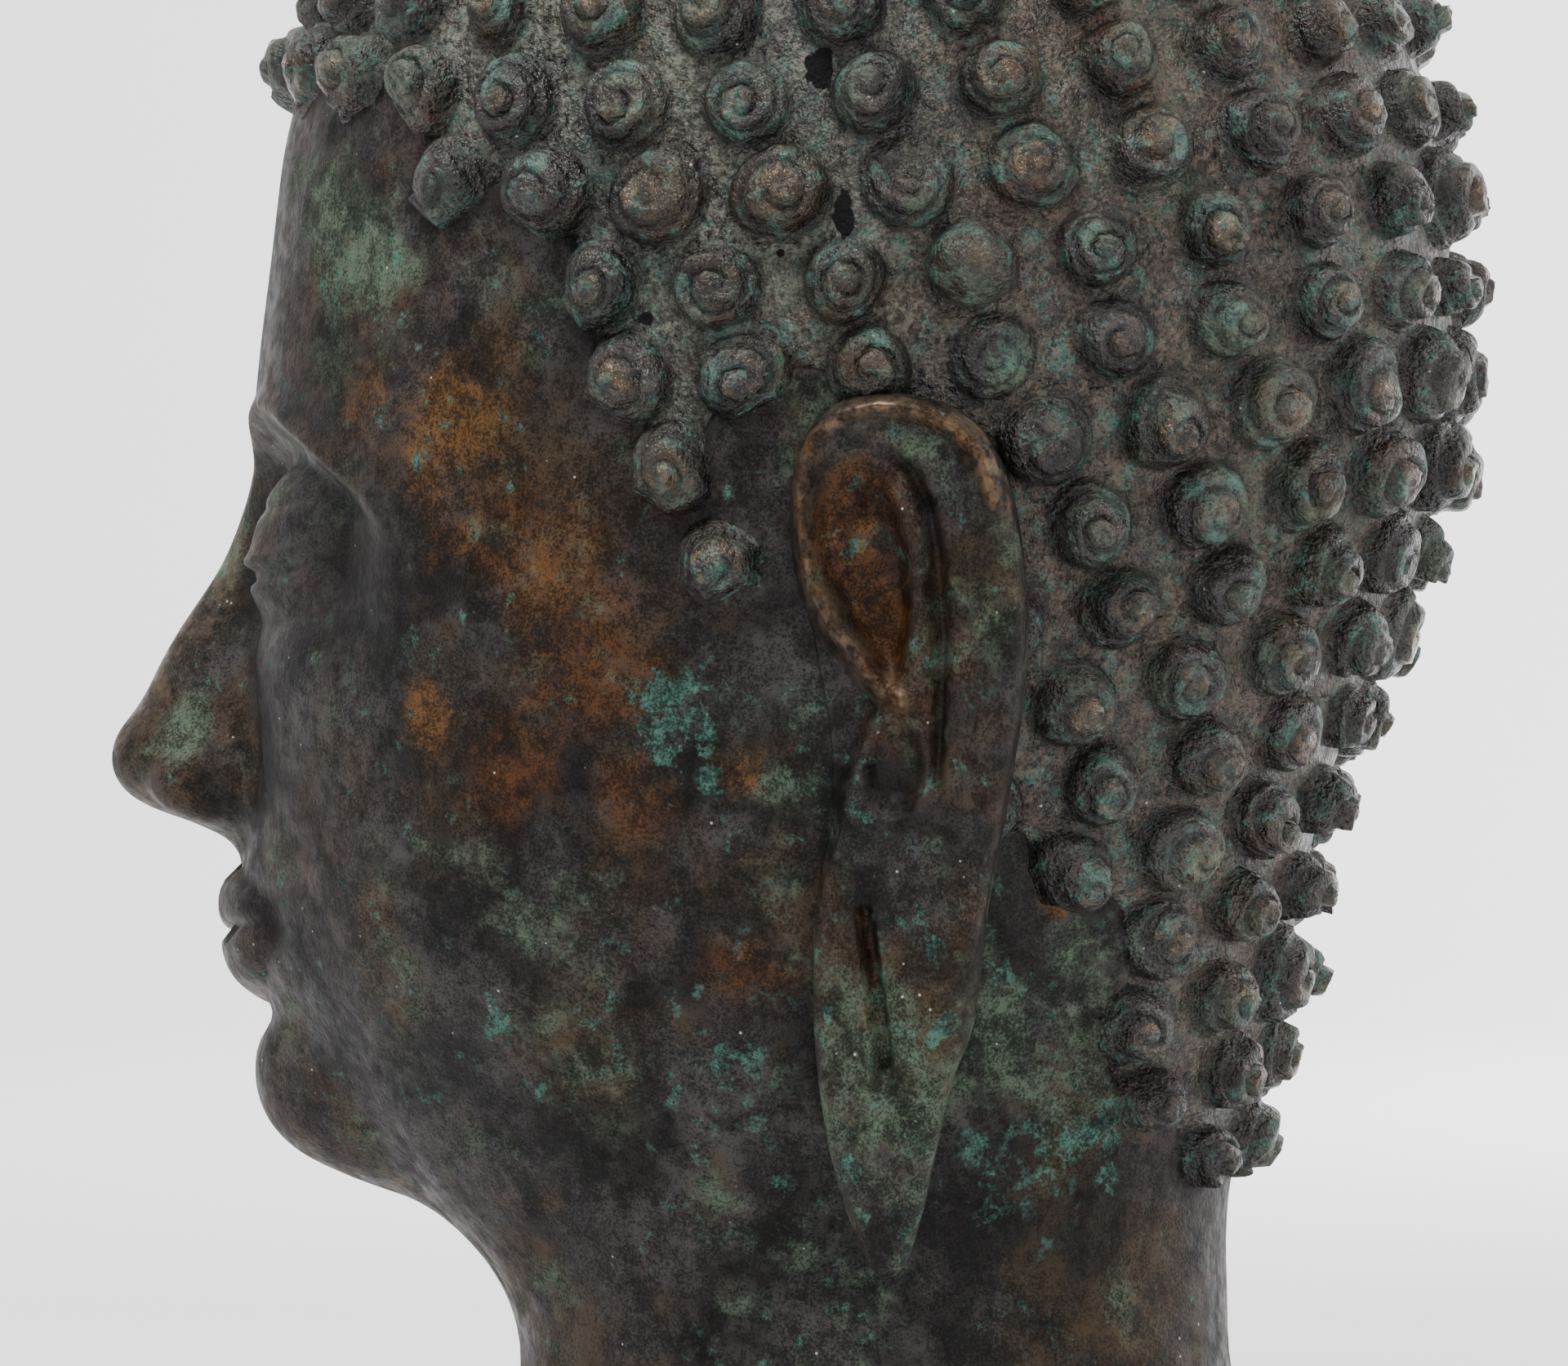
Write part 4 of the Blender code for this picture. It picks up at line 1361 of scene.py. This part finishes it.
def blotch_group(detail: float = 3.5, roughness: float = 0.70, middle: float = 0.76, pull: float = 0.42,
                 flake_edge: Range = (0.555, 0.60), flake_gain: float = 0.16) -> ShaderTree:
    """Build the group that breaks a soft cloud of patina into a wash with crisp flakes in it.

    Args:
        detail: How finely the wash's edge breaks up.
        roughness: How strong its fine parts are.
        middle: The noise value at which the wash is half thick where the patina's strength is 0.
        pull: How much the patina's strength adds to the noise.
        flake_edge: Where the flakes' edge lies in the fine noise.
        flake_gain: How much more flaky the wash's thick parts are.

    Returns:
        The group.
    """
    nodes = GroupTree("patina_blotches", {
        "Strength": 0.5, "Scale": 120.0, "Crumbs": 0.3, "Softness": 0.2, "Fine": 0.5,
    }, ("Mask",))
    given = nodes.given
    broad = nodes.add("ShaderNodeTexNoise", {
        "Vector": given["Place"], "Scale": given["Scale"], "Detail": detail, "Roughness": roughness,
    }).outputs[0]
    above = nodes.maths("SUBTRACT", nodes.maths("MULTIPLY_ADD", given["Strength"], pull, broad),
                        nodes.maths("SUBTRACT", middle, given["Softness"]))
    spread = nodes.maths("MULTIPLY", given["Softness"], 2.0)
    wash = nodes.ramp(nodes.maths("DIVIDE", above, spread), 0.0, 1.0)
    flakes = nodes.ramp(nodes.maths("MULTIPLY_ADD", wash, flake_gain, given["Fine"]), *flake_edge)
    thin = nodes.maths("SUBTRACT", 1.0, given["Crumbs"])
    flaky = nodes.maths("MULTIPLY_ADD", flakes, given["Crumbs"], thin)
    return nodes.give(Mask=nodes.maths("MULTIPLY", wash, flaky))


def dust_group(low_ground: Range = (0.36, 0.04), facing_up: Range = (0.0, 0.9), on_top: float = 0.32,
               in_low_ground: float = 0.75) -> ShaderTree:
    """Build the group that says where dust lies.

    Args:
        low_ground: Rises between which the dust thickens from none to full.
        facing_up: Upward parts of the normal between which it does the same.
        on_top: How thick it lies on what faces up.
        in_low_ground: How thick it lies in the low ground.

    Returns:
        The group.
    """
    nodes = GroupTree("settled_dust", {"Rise": 0.5, "Amount": 0.5}, ("Mask",))
    given = nodes.given
    low = nodes.maths("MULTIPLY", nodes.ramp(given["Rise"], *low_ground), in_low_ground)
    normal = nodes.add("ShaderNodeNewGeometry").outputs["Normal"]
    up = nodes.ramp(nodes.add("ShaderNodeSeparateXYZ", {0: normal}).outputs["Z"], *facing_up)
    grain = nodes.spots(given["Place"], Clouds(750.0, 1.5, 0.78, 0.36, 0.64))
    patchy = nodes.maths("MULTIPLY", nodes.maths("MULTIPLY_ADD", up, on_top, low), grain)
    return nodes.give(Mask=nodes.maths("MULTIPLY", patchy, given["Amount"], clamp=True))


def skin_group(pit_dots: Dots = Dots(480.0, (0.26, 0.05), Clouds(170.0, 0.0, 0.7, 0.50, 0.66)),
               wave_height: float = 0.6, sand_height: float = 0.3,
               tones: tuple[float, float, float] = (0.40, 0.30, 0.30)) -> ShaderTree:
    """Build the group of the casting skin: soft waves, sandy grain, small pits and a speckle of tones.

    Args:
        pit_dots: The pits.
        wave_height: Height of the waves against that of the crumbs.
        sand_height: Height of the sand against that of the crumbs.
        tones: Shares of sand, crumbs and clouds in the speckle.

    Returns:
        The group.
    """
    nodes = GroupTree("casting_skin", {"Grain": 0.5, "Pitting": 0.5}, ("Height", "Pits", "Speckle"))
    place = nodes.given["Place"]
    sand = nodes.noise(place, Clouds(2600.0, 1.0, 0.8))
    crumbs = nodes.noise(place, Clouds(400.0, 2.0, 0.85))
    waves = nodes.noise(place, Clouds(100.0, 0.0, 0.55))
    clouds = nodes.noise(place, Clouds(120.0, 2.0, 0.7))
    fine = nodes.maths("MULTIPLY_ADD", sand, sand_height, crumbs)
    fine = nodes.maths("MULTIPLY", fine, nodes.given["Grain"])
    speckle = nodes.maths("MULTIPLY_ADD", sand, tones[0], nodes.maths("MULTIPLY", crumbs, tones[1]))
    return nodes.give(
        Height=nodes.maths("MULTIPLY_ADD", waves, wave_height, fine),
        Pits=nodes.maths("MULTIPLY", nodes.dots(place, pit_dots), nodes.given["Pitting"]),
        Speckle=nodes.maths("MULTIPLY_ADD", clouds, tones[2], speckle),
    )


@dataclass(frozen=True)
class Crust:
    """One bloom's layer over the metal: its paint, the size and softness of its blotches, and how thick."""

    bloom: Bloom
    paint: Colour
    scale: float
    crumbs: float
    softness: float
    cover: float
    raised: bool = False


CRUSTS: tuple[Crust, ...] = (
    Crust(Bloom.RUSSET, (0.0310, 0.0125, 0.0042), 34.0, 0.45, 0.16, 0.92),
    Crust(Bloom.OCHRE, (0.0520, 0.0250, 0.0075), 52.0, 0.62, 0.17, 0.90),
    Crust(Bloom.GREEN, (0.0330, 0.0460, 0.0310), 66.0, 0.65, 0.12, 0.90, True),
    Crust(Bloom.TURQUOISE, (0.0230, 0.0540, 0.0430), 210.0, 0.92, 0.09, 0.95, True),
)


@dataclass(frozen=True)
class OldBronze:
    """Bronze gone nearly black, under layers of russet, ochre, green and turquoise, with dust, with painted
    shade in its hollows and with its holes painted near black as shade.
    """

    name: str
    dark: Colour = (0.0045, 0.0040, 0.0038)
    slate: Colour = (0.0190, 0.0178, 0.0170)
    brown: Colour = (0.0210, 0.0130, 0.0065)
    worn: Colour = (0.1900, 0.1350, 0.0850)
    # Painted shade: the near-black colour of the holes through the casting, standing for the dark inside;
    # the sheet has no opening there.
    painted_hole_shade: Colour = (0.0005, 0.0005, 0.0005)
    dust: Colour = (0.0640, 0.0680, 0.0530)
    dust_behind: Colour = (0.0530, 0.0390, 0.0290)
    dust_change: Range = (0.005, 0.040)
    speck: Colour = (0.2500, 0.2600, 0.2400)
    slate_clouds: Clouds = Clouds(48.0, 3.5, 0.72, 0.36, 0.62)
    brown_film: Clouds = Clouds(31.0, 3.5, 0.74, 0.44, 0.64)
    black_blots: Clouds = Clouds(72.0, 4.5, 0.76, 0.53, 0.60)
    worn_spots: Clouds = Clouds(330.0, 2.0, 0.75, 0.42, 0.62)
    rough_spots: Clouds = Clouds(260.0, 2.0, 0.75, 0.30, 0.70)
    flakes: Clouds = Clouds(460.0, 5.0, 0.72)
    ragged_edge: Clouds = Clouds(420.0, 2.0, 0.7)
    specks: Dots = Dots(420.0, (0.10, 0.05), Clouds(200.0, 1.0, 0.8, 0.60, 0.66))
    # Painted shade: where the stored shade, with the slate clouds added, starts and ends darkening.
    painted_shade_edge: Range = (0.35, 1.05)
    painted_shade_cloudiness: float = 0.5
    speckle_edge: Range = (0.40, 0.61)
    speckle_tone: Range = (0.35, 1.85)
    hole_edge: Range = (1.06, 0.96)
    hole_raggedness: float = 1.4
    film_cover: float = 0.8
    blot_cover: float = 0.55
    # How strongly the painted shade darkens.
    painted_shade_cover: float = 0.62
    pit_cover: float = 0.9
    wear_cover: float = 0.45
    grain: float = 0.5
    pitting: float = 0.5
    dust_amount: float = 0.3
    bump: float = 0.00030
    metallic: float = 0.12
    worn_metallic: float = 0.60
    roughness: Range = (0.40, 0.62)
    crust_roughness: float = 0.25
    worn_roughness: float = -0.20
    gloss: float = 0.09
    holes: tuple[tuple[Spot, Spot], ...] = ()

    def build(self, groups: PatinaGroups) -> bpy.types.Material:
        """Make the material.

        Args:
            groups: The shared node groups.

        Returns:
            The finished material.
        """
        material = bpy.data.materials.new(self.name)
        material.use_nodes = True
        nodes = NodeTree(material.node_tree)
        place = nodes.add("ShaderNodeTexCoord").outputs["Object"]
        relief = nodes.add("ShaderNodeGroup", {
            "Place": place, "Grain": self.grain, "Pitting": self.pitting,
        }, node_tree=groups.skin).outputs
        wear = nodes.maths("MULTIPLY", nodes.attribute("wear"), nodes.spots(place, self.worn_spots))
        colour, crust = self._colour(nodes, place, relief["Speckle"], groups)
        colour = nodes.mix(nodes.maths("MULTIPLY", wear, self.wear_cover), colour, self.worn)
        pits = nodes.maths("MULTIPLY", relief["Pits"], self.pit_cover, clamp=True)
        colour = nodes.mix(pits, colour, self.dark)
        bump = nodes.add("ShaderNodeBump", {
            "Strength": 1.0, "Distance": self.bump, "Height": relief["Height"],
        })
        rough = nodes.spots(place, self.rough_spots, *self.roughness)
        rough = nodes.maths("MULTIPLY_ADD", crust, self.crust_roughness, rough)
        rough = nodes.maths("MULTIPLY_ADD", wear, self.worn_roughness, rough, clamp=True)
        bare = nodes.maths("SUBTRACT", 1.0, crust, clamp=True)
        shiny = nodes.maths("MULTIPLY_ADD", wear, self.worn_metallic, self.metallic)
        metal = nodes.maths("MULTIPLY", bare, shiny, clamp=True)
        # Painted shade: each hole is painted near black, fully rough and not metallic, for the dark inside;
        # the surface itself is whole.
        gap = self._gap(nodes, place)
        if gap is not None:
            colour = nodes.mix(gap, colour, self.painted_hole_shade)
            rough = nodes.maths("MAXIMUM", rough, gap)
            metal = nodes.maths("MULTIPLY", metal, nodes.maths("SUBTRACT", 1.0, gap))
        shader = material.node_tree.nodes["Principled BSDF"]
        for label, socket in (("Base Color", colour), ("Roughness", rough), ("Metallic", metal),
                              ("Normal", bump.outputs[0])):
            nodes.tree.links.new(socket, shader.inputs[label])
        shader.inputs["Specular IOR Level"].default_value = self.gloss
        return material

    def _colour(self, nodes: NodeTree, place: Socket, speckle: Socket,
                groups: PatinaGroups) -> tuple[Socket, Socket]:
        """Lay the colours over each other.

        Args:
            nodes: The material's nodes.
            place: Where the surface point lies.
            speckle: The casting skin's speckle of tones.
            groups: The shared node groups.

        Returns:
            The mixed colour, and how crusty the top layer is.
        """
        cloud = nodes.noise(place, self.slate_clouds)
        grey = nodes.ramp(cloud, self.slate_clouds.low, self.slate_clouds.high)
        colour = nodes.mix(grey, self.dark, self.slate)
        film = nodes.maths("MULTIPLY", nodes.spots(place, self.brown_film), self.film_cover)
        colour = nodes.mix(film, colour, self.brown)
        raised = []
        fine = nodes.noise(place, self.flakes)
        for crust in CRUSTS:
            blotch = nodes.add("ShaderNodeGroup", {
                "Place": place, "Strength": nodes.attribute(crust.bloom.value), "Scale": crust.scale,
                "Crumbs": crust.crumbs, "Softness": crust.softness, "Fine": fine,
            }, node_tree=groups.blotches).outputs[0]
            colour = nodes.mix(nodes.maths("MULTIPLY", blotch, crust.cover), colour, crust.paint)
            if crust.raised:
                raised.append(blotch)
        blots = nodes.maths("MULTIPLY", nodes.spots(place, self.black_blots), self.blot_cover)
        colour = nodes.mix(blots, colour, self.dark)
        dust = nodes.add("ShaderNodeGroup", {
            "Place": place, "Rise": nodes.attribute("rise"), "Amount": self.dust_amount,
        }, node_tree=groups.dust).outputs[0]
        depth = nodes.add("ShaderNodeSeparateXYZ", {0: place}).outputs["Y"]
        tone = nodes.mix(nodes.ramp(depth, *self.dust_change), self.dust, self.dust_behind)
        colour = nodes.mix(dust, colour, tone)
        # Painted shade: the stored shade, broken up by the slate clouds, darkens the colour towards the
        # dark metal.
        painted_shade = nodes.maths("MULTIPLY_ADD", cloud, self.painted_shade_cloudiness, nodes.attribute("painted_shade"))
        painted_shade = nodes.ramp(painted_shade, *self.painted_shade_edge)
        colour = nodes.mix(nodes.maths("MULTIPLY", painted_shade, self.painted_shade_cover), colour, self.dark)
        tone = nodes.ramp(speckle, *self.speckle_edge, *self.speckle_tone)
        tone = nodes.add("ShaderNodeCombineXYZ", {axis: tone for axis in range(3)}).outputs[0]
        colour = nodes.vector_maths("MULTIPLY", colour, tone)
        colour = nodes.mix(nodes.dots(place, self.specks), colour, self.speck)
        return colour, nodes.maths("MAXIMUM", nodes.maths("MAXIMUM", *raised), dust)

    def _gap(self, nodes: NodeTree, place: Socket) -> Optional[Socket]:
        """Return a ragged mask of the holes through the casting, where near black is painted as their
        shade, if this finish has any.
        """
        if not self.holes:
            return None
        mask = None
        wander = nodes.maths("SUBTRACT", nodes.noise(place, self.ragged_edge), 0.5)
        for centre, radii in self.holes:
            scaled = nodes.vector_maths("DIVIDE", nodes.vector_maths("SUBTRACT", place, centre), radii)
            away = nodes.vector_maths("LENGTH", scaled)
            ragged = nodes.maths("MULTIPLY_ADD", wander, self.hole_raggedness, away)
            inside = nodes.ramp(ragged, *self.hole_edge)
            mask = inside if mask is None else nodes.maths("MAXIMUM", mask, inside)
        return mask


@dataclass(frozen=True)
class SoftBox:
    """A rectangular light, placed by metres up, towards the camera and to the camera's right."""

    name: str
    place: Spot
    size: Flat
    watts: float
    colour: Colour
    target: Spot = (0.13, 0.0, 0.0)


SOFT_BOXES: tuple[SoftBox, ...] = (
    SoftBox("overhead_box", (1.2, 0.25, -0.25), (1.0, 0.8), 24.0, (1.0, 0.99, 0.98)),
    SoftBox("glint_box", (1.1, 0.55, -0.15), (0.25, 0.25), 6.0, (1.0, 0.99, 0.97)),
    SoftBox("face_side_box", (0.35, 0.1, -1.1), (0.5, 0.9), 0.6, (0.97, 0.98, 1.0)),
    SoftBox("back_side_box", (0.5, -0.1, 1.2), (0.5, 0.9), 7.0, (1.0, 0.99, 0.97)),
    SoftBox("front_fill", (0.12, 1.2, 0.9), (0.9, 0.6), 8.0, (1.0, 0.99, 0.98)),
    SoftBox("backdrop_wash", (0.9, -0.5, 0.9), (0.4, 0.4), 84.0, (1.0, 1.0, 1.0), (0.3, -2.4, 1.1)),
)


@dataclass
class Studio:
    """A pale seamless sweep, soft light from above and the camera at the photograph's angle."""

    turn: float = 99.0
    distance: float = 1.10
    frame_width: float = 0.2112
    sensor: float = 36.0
    look_right: float = -0.00132
    look_up: float = 0.1085
    paper: Colour = (0.84, 0.83, 0.84)
    air: Colour = (0.66, 0.655, 0.665)
    air_strength: float = 1.38
    paper_roughness: float = 0.95
    floor_drop: float = 0.0002
    floor_corners: int = 96
    floor_radius: float = 1.5
    curve_radius: float = 1.1
    curve_steps: int = 10
    wall_height: float = 1.6

    def build(self) -> None:
        """Set up the floor, the light and the camera."""
        self._sweep()
        self._lights()
        self._camera()

    def _directions(self) -> tuple[Vector, Vector]:
        """Return the way back to the camera and the way to its right."""
        turn = math.radians(self.turn)
        return Vector((math.sin(turn), -math.cos(turn), 0.0)), Vector((math.cos(turn), math.sin(turn), 0.0))

    def _sweep(self) -> None:
        """Lay a pale floor that curves up into a low wall all round."""
        deselect()
        bpy.ops.mesh.primitive_circle_add(
            vertices=self.floor_corners, radius=self.floor_radius, fill_type="NGON",
            location=(0, 0, -self.floor_drop),
        )
        floor = bpy.context.object
        floor.name = "studio_floor"
        bpy.ops.object.transform_apply(location=True, rotation=True, scale=True)
        bpy.ops.object.mode_set(mode="EDIT")
        bpy.ops.mesh.select_mode(type="EDGE")
        bpy.ops.mesh.select_all(action="SELECT")
        radius, height = self.floor_radius, 0.0
        for step in range(1, self.curve_steps + 1):
            angle = math.pi / 2 * step / self.curve_steps
            wider = self.floor_radius + self.curve_radius * math.sin(angle)
            higher = self.curve_radius * (1 - math.cos(angle))
            bpy.ops.mesh.extrude_edges_move()
            bpy.ops.transform.resize(value=(wider / radius, wider / radius, 1.0))
            bpy.ops.transform.translate(value=(0, 0, higher - height))
            radius, height = wider, higher
        bpy.ops.mesh.extrude_edges_move()
        bpy.ops.transform.translate(value=(0, 0, self.wall_height))
        bpy.ops.object.mode_set(mode="OBJECT")
        bpy.ops.object.shade_smooth()
        material = bpy.data.materials.new("studio_paper")
        material.use_nodes = True
        shader = material.node_tree.nodes["Principled BSDF"]
        shader.inputs["Base Color"].default_value = (*self.paper, 1.0)
        shader.inputs["Roughness"].default_value = self.paper_roughness
        floor.data.materials.append(material)

    def _place(self, spot: Spot) -> Vector:
        """Return the place at metres up, towards the camera and to its right."""
        back, right = self._directions()
        return Vector((0, 0, spot[0])) + back * spot[1] + right * spot[2]

    def _lights(self) -> None:
        """Hang the lights and set the pale surroundings."""
        for box in SOFT_BOXES:
            light = bpy.data.lights.new(box.name, "AREA")
            light.shape = "RECTANGLE"
            light.size, light.size_y = box.size
            light.energy = box.watts
            light.color = box.colour
            self._stand(light, self._place(box.place), self._place(box.target))
        world = bpy.data.worlds.new("studio_air")
        world.use_nodes = True
        background = world.node_tree.nodes["Background"]
        background.inputs["Color"].default_value = (*self.air, 1.0)
        background.inputs["Strength"].default_value = self.air_strength
        bpy.context.scene.world = world

    @staticmethod
    def _stand(data: bpy.types.ID, place: Vector, target: Vector) -> Piece:
        """Add a light or camera to the scene, turned to its target."""
        stand = bpy.data.objects.new(data.name, data)
        stand.location = place
        stand.rotation_mode = "QUATERNION"
        stand.rotation_quaternion = (target - place).to_track_quat("-Z", "Y")
        bpy.context.scene.collection.objects.link(stand)
        return stand

    def _camera(self) -> None:
        """Stand the camera level with the head's middle."""
        camera = bpy.data.cameras.new("photo_camera")
        camera.sensor_width = self.sensor
        camera.lens = self.sensor * self.distance / self.frame_width
        camera.clip_start = 0.01
        place = self._place((self.look_up, self.distance, self.look_right))
        target = self._place((self.look_up, 0.0, self.look_right))
        bpy.context.scene.camera = self._stand(camera, place, target)


def casting_gaps(lattice: CurlLattice, placing: Placing) -> tuple[tuple[Spot, Spot], ...]:
    """Put each hole through the casting in the low ground between the nearest curls, where it is painted
    near black as shade.

    Args:
        lattice: Where the curls are.
        placing: Where the head stands.

    Returns:
        Each hole's centre and half sizes in the frame's metres.
    """
    corners = sorted({corner for _, ring in lattice.cells for corner in ring})
    valleys = np.array([lattice.centres[list(corner)].mean(axis=0) for corner in corners])
    gaps = []
    for gap in GAPS:
        valley = valleys[np.argmin(np.linalg.norm(valleys - gap.place(), axis=1))]
        centre = placing.metres(valley[None, :])[0]
        gaps.append((tuple(float(value) for value in centre), (GAP_DEPTH, gap.width / 2, gap.length / 2)))
    return tuple(gaps)


def main() -> None:
    """Build the head's pieces, dress them and set up the studio."""
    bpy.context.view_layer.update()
    placing = Placing.from_solid()
    Studio().build()
    groups = PatinaGroups(blotch_group(), dust_group(), skin_group())
    lattice = CurlLattice()
    gaps = casting_gaps(lattice, placing)
    skin = HeadSkin(lattice).build(placing)
    hair = HairCap(lattice).build(placing)
    ears = Ear().build(placing)
    metal = OldBronze("bronze_skin").build(groups)
    hair_metal = OldBronze("bronze_hair", dust_amount=0.95, grain=1.0, pitting=0.8, bump=0.0012,
                           roughness=(0.16, 0.48), gloss=0.28, wear_cover=0.30, holes=gaps).build(groups)
    for piece, material in ((skin, metal), (hair, hair_metal), (ears[0], metal), (ears[1], metal)):
        piece.data.materials.append(material)
        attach(piece, BODY)
        LOG.info("%s has %d faces", piece.name, len(piece.data.polygons))
    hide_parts(NODE)


if __name__ == "__main__":
    logging.basicConfig(level=logging.INFO)
    main()
